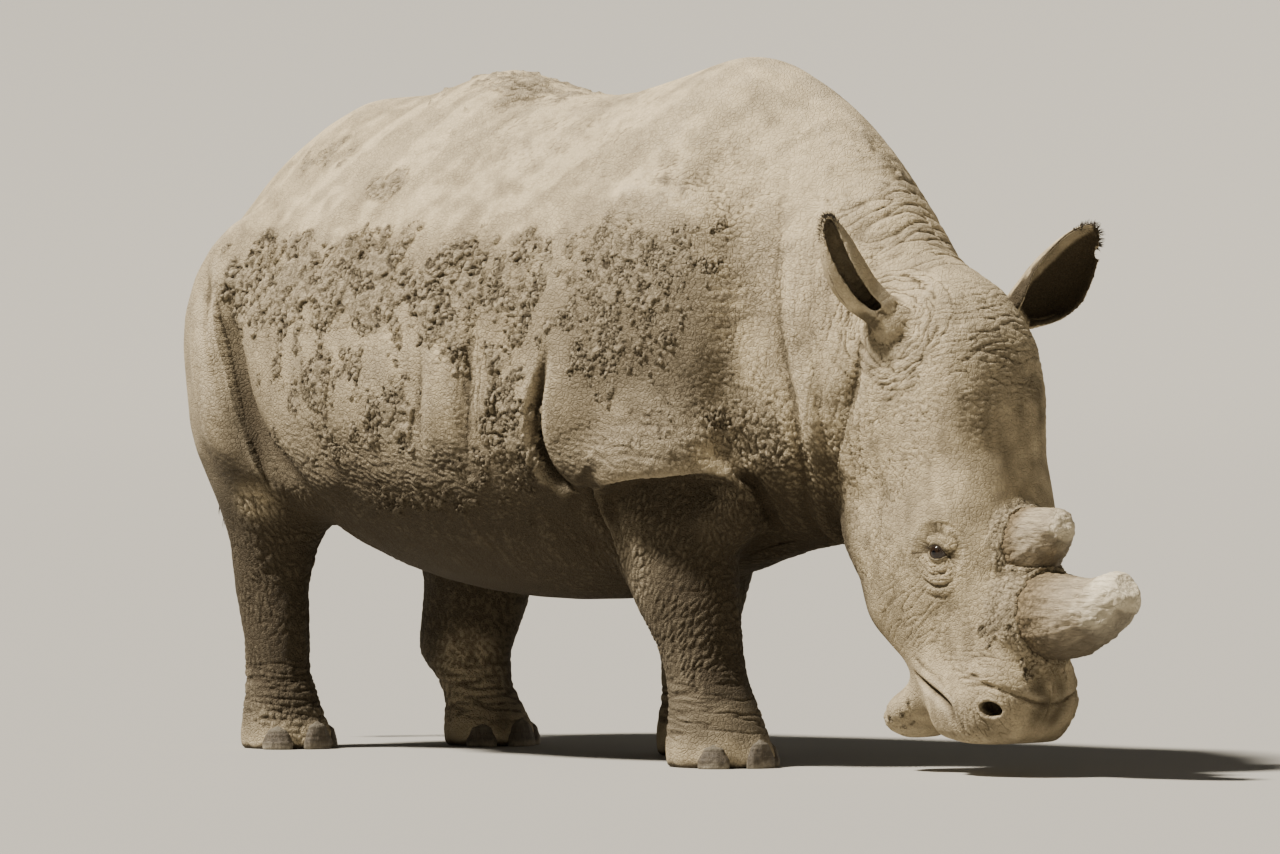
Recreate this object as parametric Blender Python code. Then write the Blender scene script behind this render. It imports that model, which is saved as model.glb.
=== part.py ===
"""A life-size white rhinoceros grazing in a slow walk, as a museum would show it.

The flesh is modelled whole: one loft runs from rump to muzzle, the legs and the big muscles are
lofts and balls joined to it by a voxel remesh, and thin cuts then part it into named pieces.
Eyes, ears, horns, toenails and tail are pieces of their own, set in sockets.
Metres, +Z up, the animal faces +X with its left side at +Y, the floor is z = 0.
"""
import math

import bmesh
import bpy
from mathutils import Euler, Matrix, Vector

# ---- driving sizes -------------------------------------------------------------------------
GAP = 0.0004            # left between neighbouring pieces
SOCKET_GAP = 0.0009     # left round a piece set in a socket
VOXEL = 0.016           # grain of the remesh that joins the flesh
SMOOTHING = 18          # passes that round the joins
FLESH_FACES = 3000      # triangles left in the whole flesh before it is parted
RING = 36               # points round a body section
SECTION_STEP = 0.035    # spacing of interpolated sections

NECK_PIVOT = Vector((0.20, 0.0, 0.0))   # the head turns to the right about this upright axis
HEAD_TURN = math.radians(-9.0)
TURN_START, TURN_END = 0.05, 0.50       # the turn grows between these x positions

# Sections of the body from rump to muzzle: back (x, z), belly (x, z), half width,
# where it is widest (0 at the belly, 1 at the back), roundness above and below that.
TRUNK = [
    (-1.770, 1.250, -1.690, 0.980, 0.060, 0.55, 2.0, 2.0),
    (-1.712, 1.365, -1.650, 0.860, 0.170, 0.52, 1.8, 2.0),
    (-1.618, 1.448, -1.570, 0.710, 0.275, 0.46, 1.7, 2.1),
    (-1.480, 1.560, -1.440, 0.635, 0.375, 0.42, 1.6, 2.1),
    (-1.280, 1.653, -1.260, 0.550, 0.465, 0.40, 1.6, 2.2),
    (-1.060, 1.668, -1.060, 0.465, 0.530, 0.40, 1.7, 2.2),
    (-0.820, 1.728, -0.840, 0.412, 0.565, 0.38, 1.6, 2.2),
    (-0.600, 1.672, -0.620, 0.392, 0.575, 0.38, 1.8, 2.2),
    (-0.400, 1.660, -0.420, 0.395, 0.560, 0.38, 1.9, 2.2),
    (-0.200, 1.705, -0.230, 0.425, 0.525, 0.40, 1.8, 2.2),
    (0.000, 1.752, -0.060, 0.465, 0.470, 0.42, 1.8, 2.2),
]
NECK = [
    (0.170, 1.698, 0.080, 0.510, 0.415, 0.42, 1.7, 2.1),
    (0.340, 1.585, 0.200, 0.530, 0.362, 0.42, 1.7, 2.1),
    (0.495, 1.432, 0.300, 0.545, 0.315, 0.44, 1.8, 2.1),
    (0.630, 1.280, 0.350, 0.550, 0.270, 0.46, 2.0, 2.2),
]
HEAD = [
    (0.790, 1.195, 0.390, 0.610, 0.226, 0.52, 2.4, 2.2),
    (0.892, 1.085, 0.415, 0.580, 0.210, 0.56, 2.7, 2.2),
    (0.932, 0.940, 0.425, 0.545, 0.200, 0.58, 2.8, 2.2),
    (0.940, 0.800, 0.435, 0.500, 0.190, 0.60, 2.7, 2.2),
    (0.962, 0.670, 0.455, 0.430, 0.196, 0.62, 2.8, 2.2),
    (0.985, 0.560, 0.480, 0.355, 0.178, 0.60, 2.8, 2.3),
    (1.020, 0.450, 0.542, 0.298, 0.148, 0.58, 2.7, 2.4),
    (1.052, 0.340, 0.625, 0.242, 0.136, 0.55, 2.7, 2.6),
    (1.075, 0.240, 0.700, 0.190, 0.152, 0.52, 2.8, 2.8),
    (1.065, 0.150, 0.740, 0.130, 0.162, 0.50, 3.0, 3.0),
    (1.015, 0.078, 0.770, 0.085, 0.140, 0.50, 3.0, 3.0),
]

# Horns along their middle line: x, z, radius.
HORN_FRONT = [
    (0.960, 0.405, 0.100),
    (1.040, 0.392, 0.106),
    (1.110, 0.388, 0.105),
    (1.180, 0.392, 0.096),
    (1.240, 0.404, 0.082),
    (1.290, 0.426, 0.071),
    (1.330, 0.453, 0.060),
    (1.354, 0.471, 0.036),
]
HORN_REAR = [
    (0.920, 0.520, 0.086),
    (0.975, 0.545, 0.092),
    (1.030, 0.572, 0.084),
    (1.080, 0.594, 0.064),
    (1.116, 0.610, 0.044),
    (1.130, 0.616, 0.022),
]
HORN_BROADNESS = 0.94       # width across against height of a horn section

EYE_CENTRE = (0.852, 0.158, 0.540)
EYE_RADIUS = 0.027

# Ears: base, length, direction of the middle line, heading of the opening from -Y toward +X,
# how wide the leaf is spread, how far it wraps round, and how far its middle line is bowed.
EARS = {
    "ear_right": ((0.700, -0.172, 1.085), 0.325, (-0.040, -0.190, 0.275), 60.0, 0.98, 1.50,
                  (-0.018, -0.016, -0.016)),
    "ear_left": ((0.700, 0.172, 1.085), 0.335, (0.130, 0.178, 0.228), 86.0, 1.30, 0.82,
                 (0.016, 0.014, -0.018)),
}
EAR_WRAP_LIMIT = 330.0
# along the ear: share of length, radius, degrees of wrap, thickness
EAR_SHAPE = [
    (-0.10, 0.034, 318.0, 0.026),
    (0.10, 0.042, 314.0, 0.032),
    (0.25, 0.058, 285.0, 0.020),
    (0.42, 0.066, 250.0, 0.011),
    (0.60, 0.064, 226.0, 0.010),
    (0.78, 0.052, 204.0, 0.009),
    (0.90, 0.035, 188.0, 0.008),
    (1.00, 0.012, 172.0, 0.007),
]
EAR_ROOT = 0.054
# bites out of the far ear's rim: centre and radius
EAR_NOTCHES = [((0.866, 0.278, 1.262), 0.013), ((0.862, 0.256, 1.128), 0.022)]

# Tail: x, y, z, radius; then the tuft at its end.
TAIL = [
    (-1.700, 0.000, 1.275, 0.062),
    (-1.765, 0.000, 1.255, 0.058),
    (-1.812, 0.005, 1.190, 0.050),
    (-1.838, 0.015, 1.080, 0.041),
    (-1.848, 0.028, 0.940, 0.033),
    (-1.850, 0.040, 0.800, 0.026),
    (-1.848, 0.045, 0.745, 0.024),
]
TUFT_LENGTH, TUFT_RADIUS = 0.200, 0.034

# Toenails: degrees from straight ahead, half width, height of the top
NAILS = {"mid": (0.0, 0.050, 0.072), "outer": (-56.0, 0.042, 0.060), "inner": (56.0, 0.042, 0.060)}
NAIL_DEPTH = 0.024
NAIL_STATION = 2            # the leg station, just above the floor, that the nails are set round

FOOT_TOP = 0.128            # level of the cut above each foot
LEG_INSIDE, LEG_OUTSIDE = 0.012, 0.750      # distances from the middle plane of a leg's cuts
CUT_OVERLAP = 0.050         # how far a leg's cutting block reaches below the cut before it
LEG_BLOCK_BOTTOM, LEG_BLOCK_TOP = -0.100, 1.200
# Cuts across the body, from the front: a point on the cut and the direction it looks in. Those
# of the head and jaw turn with the head.
HEAD_CUT = ((0.540, 0.0, 0.860), (0.550, 0.0, -0.300))
JAW_CUT = ((0.648, 0.0, 0.400), (-0.700, 0.0, -0.255))
BODY_CUTS = [
    ("neck", (0.160, 0.0, 1.100), (1.0, 0.0, -0.040)),
    ("shoulders", (-0.480, 0.0, 1.0), (1.0, 0.0, 0.060)),
    ("barrel", (-1.090, 0.0, 1.0), (1.0, 0.0, 0.120)),
]
FLOOR = 0.0

# Muscles and pads added to the lofts: name, centre x, y, z, radii, tilt about Y. A positive y
# makes a pair, one on each side.
MUSCLES = [
    ("shoulder", -0.075, 0.325, 1.070, 0.350, 0.170, 0.400, 8.0),
    ("upper_arm", -0.020, 0.360, 0.850, 0.250, 0.135, 0.185, 0.0),
    ("haunch", -1.375, 0.270, 1.030, 0.305, 0.172, 0.350, 0.0),
    ("stifle", -1.190, 0.300, 0.780, 0.170, 0.110, 0.180, 0.0),
    ("cheek", 0.620, 0.105, 0.600, 0.165, 0.090, 0.170, 20.0),
    ("brow", 0.875, 0.130, 0.590, 0.062, 0.050, 0.050, 0.0),
    ("nose_side", 0.960, 0.085, 0.190, 0.085, 0.070, 0.080, 0.0),
    ("horn_boss", 1.030, 0.000, 0.385, 0.085, 0.118, 0.125, 0.0),
    ("rear_boss", 0.975, 0.000, 0.555, 0.070, 0.095, 0.075, 0.0),
    ("lower_lip", 0.640, 0.000, 0.155, 0.134, 0.132, 0.066, -24.0),
    ("armpit", 0.150, -0.290, 0.680, 0.130, 0.120, 0.150, 0.0),
    ("brisket", 0.020, 0.000, 0.640, 0.240, 0.230, 0.150, -10.0),
]

# Legs, from the ground up: height, centre x, centre y, half length, half width.
FORE_NEAR = [
    (-0.040, 0.100, 0.250, 0.136, 0.126),
    (0.000, 0.100, 0.250, 0.136, 0.126),
    (0.050, 0.098, 0.250, 0.140, 0.130),
    (0.120, 0.088, 0.250, 0.122, 0.116),
    (0.200, 0.065, 0.250, 0.105, 0.104),
    (0.280, 0.043, 0.252, 0.108, 0.103),
    (0.380, 0.008, 0.256, 0.144, 0.115),
    (0.500, -0.030, 0.264, 0.176, 0.128),
    (0.620, -0.043, 0.274, 0.202, 0.150),
    (0.760, -0.045, 0.288, 0.220, 0.172),
    (0.920, -0.060, 0.300, 0.260, 0.176),
    (1.120, -0.060, 0.300, 0.270, 0.160),
]
FORE_FAR = [
    (-0.040, -0.326, 0.190, 0.136, 0.126),
    (0.000, -0.326, 0.190, 0.136, 0.126),
    (0.050, -0.327, 0.190, 0.140, 0.130),
    (0.120, -0.334, 0.190, 0.122, 0.116),
    (0.200, -0.348, 0.190, 0.105, 0.104),
    (0.280, -0.364, 0.192, 0.103, 0.102),
    (0.380, -0.368, 0.198, 0.130, 0.112),
    (0.500, -0.355, 0.212, 0.160, 0.128),
    (0.620, -0.298, 0.234, 0.188, 0.150),
    (0.760, -0.200, 0.262, 0.220, 0.172),
    (0.920, -0.110, 0.290, 0.260, 0.176),
    (1.120, -0.060, 0.300, 0.270, 0.160),
]
HIND_NEAR = [
    (-0.040, -1.395, 0.230, 0.116, 0.114),
    (0.000, -1.395, 0.230, 0.116, 0.114),
    (0.050, -1.398, 0.230, 0.120, 0.116),
    (0.120, -1.405, 0.230, 0.100, 0.100),
    (0.200, -1.420, 0.230, 0.088, 0.086),
    (0.300, -1.428, 0.230, 0.092, 0.084),
    (0.420, -1.440, 0.232, 0.108, 0.090),
    (0.520, -1.425, 0.236, 0.124, 0.106),
    (0.640, -1.400, 0.244, 0.182, 0.148),
    (0.800, -1.385, 0.258, 0.262, 0.185),
    (1.000, -1.375, 0.262, 0.290, 0.168),
    (1.150, -1.380, 0.240, 0.200, 0.120),
]
HIND_FAR = [
    (-0.040, -1.115, 0.230, 0.116, 0.114),
    (0.000, -1.115, 0.230, 0.116, 0.114),
    (0.050, -1.118, 0.230, 0.120, 0.116),
    (0.110, -1.132, 0.230, 0.100, 0.100),
    (0.165, -1.165, 0.230, 0.105, 0.090),
    (0.230, -1.200, 0.230, 0.140, 0.090),
    (0.330, -1.172, 0.232, 0.158, 0.100),
    (0.440, -1.160, 0.238, 0.166, 0.115),
    (0.600, -1.210, 0.246, 0.205, 0.152),
    (0.780, -1.290, 0.258, 0.262, 0.185),
    (1.000, -1.350, 0.262, 0.290, 0.168),
    (1.150, -1.380, 0.240, 0.200, 0.120),
]


# ---- small tools ---------------------------------------------------------------------------
def smooth_step(t):
    t = min(1.0, max(0.0, t))
    return t * t * (3.0 - 2.0 * t)


def turn_head(p):
    """Bends the neck and head to the animal's right."""
    share = smooth_step((p.x - TURN_START) / (TURN_END - TURN_START))
    return Matrix.Rotation(HEAD_TURN * share, 3, "Z") @ (p - NECK_PIVOT) + NECK_PIVOT


def catmull_rom(rows, step, second=True):
    """Rows of numbers interpolated smoothly, one per step of distance; the first two columns are a
    place, and so are the next two when second is true."""
    out = []
    for i in range(len(rows) - 1):
        a = rows[max(i - 1, 0)]
        b, c = rows[i], rows[i + 1]
        d = rows[min(i + 2, len(rows) - 1)]
        run = math.dist(b[:2], c[:2])
        if second:
            run = max(run, 0.5 * math.dist(b[2:4], c[2:4]))
        count = max(1, round(run / step))
        for k in range(count):
            t = k / count
            out.append([
                0.5 * (2 * q + (r - p) * t + (2 * p - 5 * q + 4 * r - s) * t * t
                       + (3 * q - p - 3 * r + s) * t ** 3)
                for p, q, r, s in zip(a, b, c, d)
            ])
    out.append(list(rows[-1]))
    return out


def signed_power(value, power):
    return math.copysign(abs(value) ** power, value)


def section_ring(row, ring=RING):
    """Points round one body section, starting on the animal's left."""
    back = Vector((row[0], 0.0, row[1]))
    belly = Vector((row[2], 0.0, row[3]))
    half_width, widest, above, below = row[4:]
    points = []
    for k in range(ring):
        angle = 2 * math.pi * k / ring
        up = math.sin(angle)
        roundness = above if up >= 0 else below
        side = half_width * signed_power(math.cos(angle), 2 / roundness)
        rise = abs(up) ** (2 / roundness)
        height = widest + (1 - widest) * rise if up >= 0 else widest * (1 - rise)
        points.append(belly.lerp(back, height) + Vector((0.0, side, 0.0)))
    return points


def mesh_object(name, bm):
    mesh = bpy.data.meshes.new(name)
    bmesh.ops.recalc_face_normals(bm, faces=bm.faces)
    bm.to_mesh(mesh)
    bm.free()
    obj = bpy.data.objects.new(name, mesh)
    bpy.context.scene.collection.objects.link(obj)
    return obj


def loft(name, rings):
    """A closed solid through rings of points, all with the same count, with flat caps."""
    bm = bmesh.new()
    loops = [[bm.verts.new(p) for p in ring] for ring in rings]
    for low, high in zip(loops, loops[1:]):
        for k in range(len(low)):
            n = (k + 1) % len(low)
            bm.faces.new((low[k], low[n], high[n], high[k]))
    bm.faces.new(reversed(loops[0]))
    bm.faces.new(loops[-1])
    return mesh_object(name, bm)


def ball(name, centre, radii, turn=(0.0, 0.0, 0.0), segments=24):
    bm = bmesh.new()
    bmesh.ops.create_uvsphere(bm, u_segments=segments, v_segments=segments // 2, radius=1.0)
    obj = mesh_object(name, bm)
    place = Matrix.Translation(centre) @ Euler([math.radians(a) for a in turn]).to_matrix().to_4x4()
    obj.data.transform(place @ Matrix.Diagonal((*radii, 1.0)))
    return obj


def leg_object(name, stations, side):
    """One leg lofted through level rings; side is +1 for the left, -1 for the right."""
    rows = [(x, z, x, z, y, rx, ry) for z, x, y, rx, ry in stations]
    rings = []
    for x, z, _, _, y, rx, ry in catmull_rom(rows, SECTION_STEP):
        ring = []
        for k in range(28):
            angle = 2 * math.pi * k / 28
            ring.append(Vector((x + rx * math.cos(angle), side * y + ry * math.sin(angle), z)))
        rings.append(ring)
    return loft(name, rings)


# ---- flesh as one body ---------------------------------------------------------------------
def join(name, objects):
    bm = bmesh.new()
    for obj in objects:
        bm.from_mesh(obj.data)
        bpy.data.objects.remove(obj)
    mesh = bpy.data.meshes.new(name)
    bm.to_mesh(mesh)
    bm.free()
    obj = bpy.data.objects.new(name, mesh)
    bpy.context.scene.collection.objects.link(obj)
    return obj


def apply_modifiers(obj):
    graph = bpy.context.evaluated_depsgraph_get()
    mesh = bpy.data.meshes.new_from_object(obj.evaluated_get(graph))
    obj.modifiers.clear()
    obj.data = mesh


def build_flesh():
    pieces = []
    rings = [section_ring(row) for row in catmull_rom(TRUNK + NECK + HEAD, SECTION_STEP)]
    pieces.append(loft("body", [[turn_head(p) for p in ring] for ring in rings]))
    for name, stations, side in (
        ("fore_right", FORE_NEAR, -1),
        ("fore_left", FORE_FAR, 1),
        ("hind_right", HIND_NEAR, -1),
        ("hind_left", HIND_FAR, 1),
    ):
        pieces.append(leg_object(name, stations, side))
    for name, x, y, z, rx, ry, rz, tilt in MUSCLES:
        for side in ((-1, 1) if y > 0 else (1,)):
            lump = ball(name, (x, side * y, z), (rx, ry, rz), (0.0, tilt, 0.0))
            for vertex in lump.data.vertices:
                vertex.co = turn_head(vertex.co)
            pieces.append(lump)
    flesh = join("flesh", pieces)
    remesh = flesh.modifiers.new("remesh", "REMESH")
    remesh.mode = "VOXEL"
    remesh.voxel_size = VOXEL
    soft = flesh.modifiers.new("soft", "SMOOTH")
    soft.factor = 0.6
    soft.iterations = SMOOTHING
    apply_modifiers(flesh)
    return flesh


# ---- cutting tools -------------------------------------------------------------------------
def box(name, low, high, grow=0.0):
    bm = bmesh.new()
    bmesh.ops.create_cube(bm, size=1.0)
    obj = mesh_object(name, bm)
    low = Vector(low) - Vector((grow, grow, grow))
    high = Vector(high) + Vector((grow, grow, grow))
    obj.data.transform(Matrix.Translation((low + high) / 2) @ Matrix.Diagonal((*(high - low), 1.0)))
    return obj


def beyond_plane(name, point, normal, grow=0.0, size=6.0):
    """A large block lying on the side of a plane its normal points to."""
    normal = Vector(normal).normalized()
    bm = bmesh.new()
    bmesh.ops.create_cube(bm, size=size)
    obj = mesh_object(name, bm)
    turn = Vector((0, 0, 1)).rotation_difference(normal).to_matrix().to_4x4()
    centre = Vector(point) + normal * (size / 2 - grow)
    obj.data.transform(Matrix.Translation(centre) @ turn)
    return obj


def combine(target, tool, operation, keep_tool=False):
    modifier = target.modifiers.new("cut", "BOOLEAN")
    modifier.operation = operation
    modifier.solver = "EXACT"
    modifier.object = tool
    apply_modifiers(target)
    if not keep_tool:
        bpy.data.objects.remove(tool)
    return target


def copy_of(obj, name):
    other = bpy.data.objects.new(name, obj.data.copy())
    bpy.context.scene.collection.objects.link(other)
    return other


def part_off(rest, name, make_tool):
    """Parts the piece inside a tool from the rest, leaving a thin gap between them."""
    piece = copy_of(rest, name)
    combine(piece, make_tool(0.0), "INTERSECT")
    combine(rest, make_tool(GAP), "DIFFERENCE")
    return piece


def grown(obj, amount):
    other = copy_of(obj, obj.name + "_grown")
    swell = other.modifiers.new("swell", "DISPLACE")
    swell.mid_level = 0.0
    swell.strength = amount
    apply_modifiers(other)
    return other


def socket(host, guest):
    """Cuts room for one solid out of another."""
    combine(host, grown(guest, SOCKET_GAP), "DIFFERENCE")


def prism_under(point_a, point_b, point_c, low, high):
    """Returns a maker of a block from low to high, cut off above the plane of three points."""
    a, b, c = Vector(point_a), Vector(point_b), Vector(point_c)
    normal = (b - a).cross(c - a).normalized()
    if normal.z < 0:
        normal = -normal

    def make(grow):
        block = box("block", low, high, grow)
        return combine(block, beyond_plane("lid", a + normal * grow, normal), "DIFFERENCE")

    return make


# ---- separate pieces -----------------------------------------------------------------------
def tube(name, stations, broadness=1.0, points=14, step=0.045):
    """A round solid along stations of (x, y, z, radius), rounded off at its end."""
    rows = [(s[0], s[2], s[1], s[3]) for s in stations]
    line = [(Vector((r[0], r[2], r[1])), r[3]) for r in catmull_rom(rows, step, False)]
    rings = []
    for k, (centre, radius) in enumerate(line):
        ahead = line[min(k + 1, len(line) - 1)][0] - line[max(k - 1, 0)][0]
        ahead.normalize()
        side = Vector((0, 1, 0)) if abs(ahead.y) < 0.9 else Vector((1, 0, 0))
        up = side.cross(ahead).normalized()
        side = ahead.cross(up).normalized()
        rings.append([
            centre + up * radius * math.sin(2 * math.pi * n / points)
            + side * radius * broadness * math.cos(2 * math.pi * n / points)
            for n in range(points)
        ])
    return loft(name, rings)


def turned(obj):
    for vertex in obj.data.vertices:
        vertex.co = turn_head(vertex.co)
    return obj


def ear(name, base, length, direction, heading, spread, curl, bow):
    axis = Vector(direction).normalized()
    facing = Vector((math.sin(math.radians(heading)), -math.cos(math.radians(heading)), 0.0))
    facing = (facing - axis * facing.dot(axis)).normalized()
    sideways = axis.cross(facing)
    rings = []
    arc_points = 8
    rows = [(share * length, *rest) for share, *rest in EAR_SHAPE]
    for reach, radius, wrap, thick in catmull_rom(rows, 0.045, False):
        opening = smooth_step(reach / length / 0.4)
        radius *= 1 + (spread - 1) * opening
        wrap = min(EAR_WRAP_LIMIT, wrap * (1 + (curl - 1) * opening))
        arch = math.sin(math.pi * min(max(reach / length, 0.0), 1.0))
        centre = Vector(base) + axis * reach + Vector(bow) * arch
        ring = []
        for shell, order in ((radius, range(arc_points)), (radius - thick, range(arc_points - 1, -1, -1))):
            for k in order:
                angle = math.radians(wrap) * (k / (arc_points - 1) - 0.5)
                ring.append(centre - facing * shell * math.cos(angle) + sideways * shell * math.sin(angle))
        rings.append(ring)
    leaf = loft(name, rings)
    root = ball("root", Vector(base) + axis * 0.004, (EAR_ROOT, EAR_ROOT, EAR_ROOT), segments=12)
    return turned(combine(leaf, root, "UNION"))


def toenail(name, foot, side, key):
    z, x, y, rx, ry = foot
    angle, half_width, top = NAILS[key]
    angle = math.radians(angle) * side * -1.0
    edge = Vector((x + (rx - 0.004) * math.cos(angle), side * y + (ry - 0.004) * math.sin(angle), 0.0))
    nail = ball(name, (0, 0, 0), (NAIL_DEPTH, half_width, top), segments=10)
    nail.data.transform(Matrix.Translation(edge) @ Matrix.Rotation(angle, 4, "Z"))
    return combine(nail, beyond_plane("floor", (0, 0, FLOOR), (0, 0, -1)), "DIFFERENCE")


def tuft(name, top):
    """The flat brush at the end of the tail, with its tip cut blunt."""
    rows = []
    for share, fullness in ((-0.20, 0.95), (0.0, 1.0), (0.3, 1.10), (0.6, 0.85), (0.85, 0.50), (1.0, 0.20)):
        rows.append((top.x, top.y + 0.010 * share, top.z - TUFT_LENGTH * share, TUFT_RADIUS * fullness))
    return tube(name, rows, 0.75, 10, 0.060)


# ---- assembly ------------------------------------------------------------------------------
for old in list(bpy.data.objects):
    bpy.data.objects.remove(old)
flesh = build_flesh()
thin = flesh.modifiers.new("thin", "DECIMATE")
thin.ratio = FLESH_FACES / sum(len(p.vertices) - 2 for p in flesh.data.polygons)
apply_modifiers(flesh)
combine(flesh, beyond_plane("floor", (0, 0, FLOOR), (0, 0, -1)), "DIFFERENCE")

# Legs: key, side, foot station, level of the knee or hock cut, x limits, and three points of the
# tilted cut where the leg meets the body (x, y from the middle, z).
LEGS = [
    ("fore_right", -1, FORE_NEAR[NAIL_STATION], 0.395, (-0.340, 0.300),
     ((-0.250, 0.480, 0.680), (0.200, 0.480, 0.680), (0.000, 0.060, 0.500))),
    ("fore_left", 1, FORE_FAR[NAIL_STATION], 0.360, (-0.560, 0.020),
     ((-0.500, 0.480, 0.640), (0.100, 0.480, 0.680), (-0.250, 0.060, 0.470))),
    ("hind_right", -1, HIND_NEAR[NAIL_STATION], 0.450, (-1.900, -1.060),
     ((-1.700, 0.450, 0.960), (-1.060, 0.450, 0.680), (-1.400, 0.030, 0.600))),
    ("hind_left", 1, HIND_FAR[NAIL_STATION], 0.340, (-1.900, -0.960),
     ((-1.700, 0.450, 0.960), (-1.000, 0.450, 0.640), (-1.350, 0.030, 0.580))),
]


pieces = {}
for key, side, foot, knee, reach, corners in LEGS:
    y_low, y_high = sorted((side * LEG_INSIDE, side * LEG_OUTSIDE))
    levels = (("foot", LEG_BLOCK_BOTTOM, FOOT_TOP), ("lower", FOOT_TOP - CUT_OVERLAP, knee))
    for part, bottom, top in levels:
        pieces[key + "_" + part] = part_off(
            flesh, key + "_" + part,
            lambda grow: box("slab", (reach[0], y_low, bottom), (reach[1], y_high, top), grow))
    corners = [(x, side * y, z) for x, y, z in corners]
    pieces[key + "_upper"] = part_off(
        flesh, key + "_upper",
        prism_under(*corners, (reach[0], y_low, knee - CUT_OVERLAP), (reach[1], y_high, LEG_BLOCK_TOP)))

turn = Matrix.Rotation(HEAD_TURN, 3, "Z")
point, normal = turn_head(Vector(HEAD_CUT[0])), turn @ Vector(HEAD_CUT[1])
pieces["head"] = part_off(flesh, "head", lambda grow: beyond_plane("front", point, normal, grow))
for name, point, normal in BODY_CUTS:
    pieces[name] = part_off(flesh, name, lambda grow: beyond_plane("front", point, normal, grow))
pieces["hindquarters"] = copy_of(flesh, "hindquarters")
bpy.data.objects.remove(flesh)
point, normal = turn_head(Vector(JAW_CUT[0])), turn @ Vector(JAW_CUT[1])
pieces["lower_jaw"] = part_off(
    pieces["head"], "lower_jaw", lambda grow: beyond_plane("jaw", point, normal, grow))

for name, stations in (("horn_front", HORN_FRONT), ("horn_rear", HORN_REAR)):
    pieces[name] = turned(tube(name, [(x, 0.0, z, r) for x, z, r in stations], HORN_BROADNESS))
socket(pieces["horn_rear"], pieces["horn_front"])
for name in ("horn_front", "horn_rear"):
    socket(pieces["head"], pieces[name])
for name, side in (("eye_right", -1), ("eye_left", 1)):
    x, y, z = EYE_CENTRE
    pieces[name] = turned(ball(name, (x, side * y, z), (EYE_RADIUS,) * 3, segments=14))
    socket(pieces["head"], pieces[name])
for name, shape in EARS.items():
    pieces[name] = ear(name, *shape)
    if name == "ear_left":
        for spot, radius in EAR_NOTCHES:
            combine(pieces[name], ball("notch", spot, (radius,) * 3, segments=8), "DIFFERENCE")
    socket(pieces["head"], pieces[name])
    socket(pieces["neck"], pieces[name])
for key, side, foot, *_ in LEGS:
    for nail in NAILS:
        name = key + "_nail_" + nail
        pieces[name] = toenail(name, foot, side, nail)
        socket(pieces[key + "_foot"], pieces[name])

pieces["tail"] = tube("tail", TAIL, points=10, step=0.070)
socket(pieces["hindquarters"], pieces["tail"])
pieces["tail_tuft"] = tuft("tail_tuft", Vector(TAIL[-1][:3]))
socket(pieces["tail_tuft"], pieces["tail"])

# ---- finishing -----------------------------------------------------------------------------
COLOURS = {
    "hide": ((0.270, 0.235, 0.175), 0.90),
    "ear_hide": ((0.230, 0.195, 0.145), 0.90),
    "horn": ((0.420, 0.370, 0.280), 0.75),
    "toenail": ((0.200, 0.170, 0.130), 0.70),
    "eye": ((0.010, 0.007, 0.005), 0.15),
    "tail_hair": ((0.030, 0.022, 0.015), 0.90),
}
materials = {}
for name, (colour, rough) in COLOURS.items():
    material = bpy.data.materials.new(name)
    material.use_nodes = True
    shader = next(n for n in material.node_tree.nodes if n.type == "BSDF_PRINCIPLED")
    shader.inputs["Base Color"].default_value = (*colour, 1.0)
    shader.inputs["Roughness"].default_value = rough
    material.diffuse_color = (*colour, 1.0)
    materials[name] = material


def slot_of(name):
    if name.startswith("ear"):
        return "ear_hide"
    if name.startswith("horn"):
        return "horn"
    if "nail" in name:
        return "toenail"
    if name.startswith("eye"):
        return "eye"
    return "tail_hair" if name == "tail_tuft" else "hide"


corners = [v.co for obj in pieces.values() for v in obj.data.vertices]
low = Vector([min(c[axis] for c in corners) for axis in range(3)])
high = Vector([max(c[axis] for c in corners) for axis in range(3)])
TO_CENTRE = -Vector(((low.x + high.x) / 2, (low.y + high.y) / 2, low.z))
for name, obj in pieces.items():
    obj.name = name
    obj.data.name = name
    obj.data.transform(Matrix.Translation(TO_CENTRE))
    obj.data.materials.clear()
    obj.data.materials.append(materials[slot_of(name)])
    for face in obj.data.polygons:
        face.material_index = 0
        face.use_smooth = True
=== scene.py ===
"""Looks of the grazing white rhinoceros: one wrinkled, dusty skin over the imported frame."""

import math

import bmesh
import bpy
import numpy as np
from mathutils import Matrix, Vector
from mathutils.bvhtree import BVHTree

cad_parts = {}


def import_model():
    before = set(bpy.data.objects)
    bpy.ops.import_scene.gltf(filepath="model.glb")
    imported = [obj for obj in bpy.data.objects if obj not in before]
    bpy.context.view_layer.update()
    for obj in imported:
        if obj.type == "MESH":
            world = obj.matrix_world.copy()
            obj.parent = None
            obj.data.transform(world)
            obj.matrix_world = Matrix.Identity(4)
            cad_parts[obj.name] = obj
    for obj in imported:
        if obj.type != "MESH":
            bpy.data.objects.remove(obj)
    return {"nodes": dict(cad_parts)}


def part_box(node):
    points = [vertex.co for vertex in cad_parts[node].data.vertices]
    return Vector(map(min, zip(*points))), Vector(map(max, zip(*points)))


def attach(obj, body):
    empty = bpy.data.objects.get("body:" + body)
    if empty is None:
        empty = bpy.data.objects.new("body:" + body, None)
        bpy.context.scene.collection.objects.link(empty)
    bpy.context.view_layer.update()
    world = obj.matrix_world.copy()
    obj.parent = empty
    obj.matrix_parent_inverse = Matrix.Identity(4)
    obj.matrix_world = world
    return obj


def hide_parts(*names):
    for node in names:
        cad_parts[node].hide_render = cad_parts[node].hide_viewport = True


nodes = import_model()["nodes"]
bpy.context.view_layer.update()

# ---- driving sizes, in metres ---------------------------------------------------------------
COARSE = 0.014            # grain of the first remesh, which rounds the solids' facets
FINE = 0.0076             # grain of the skin, halved on the head and quartered round the eyes
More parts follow.
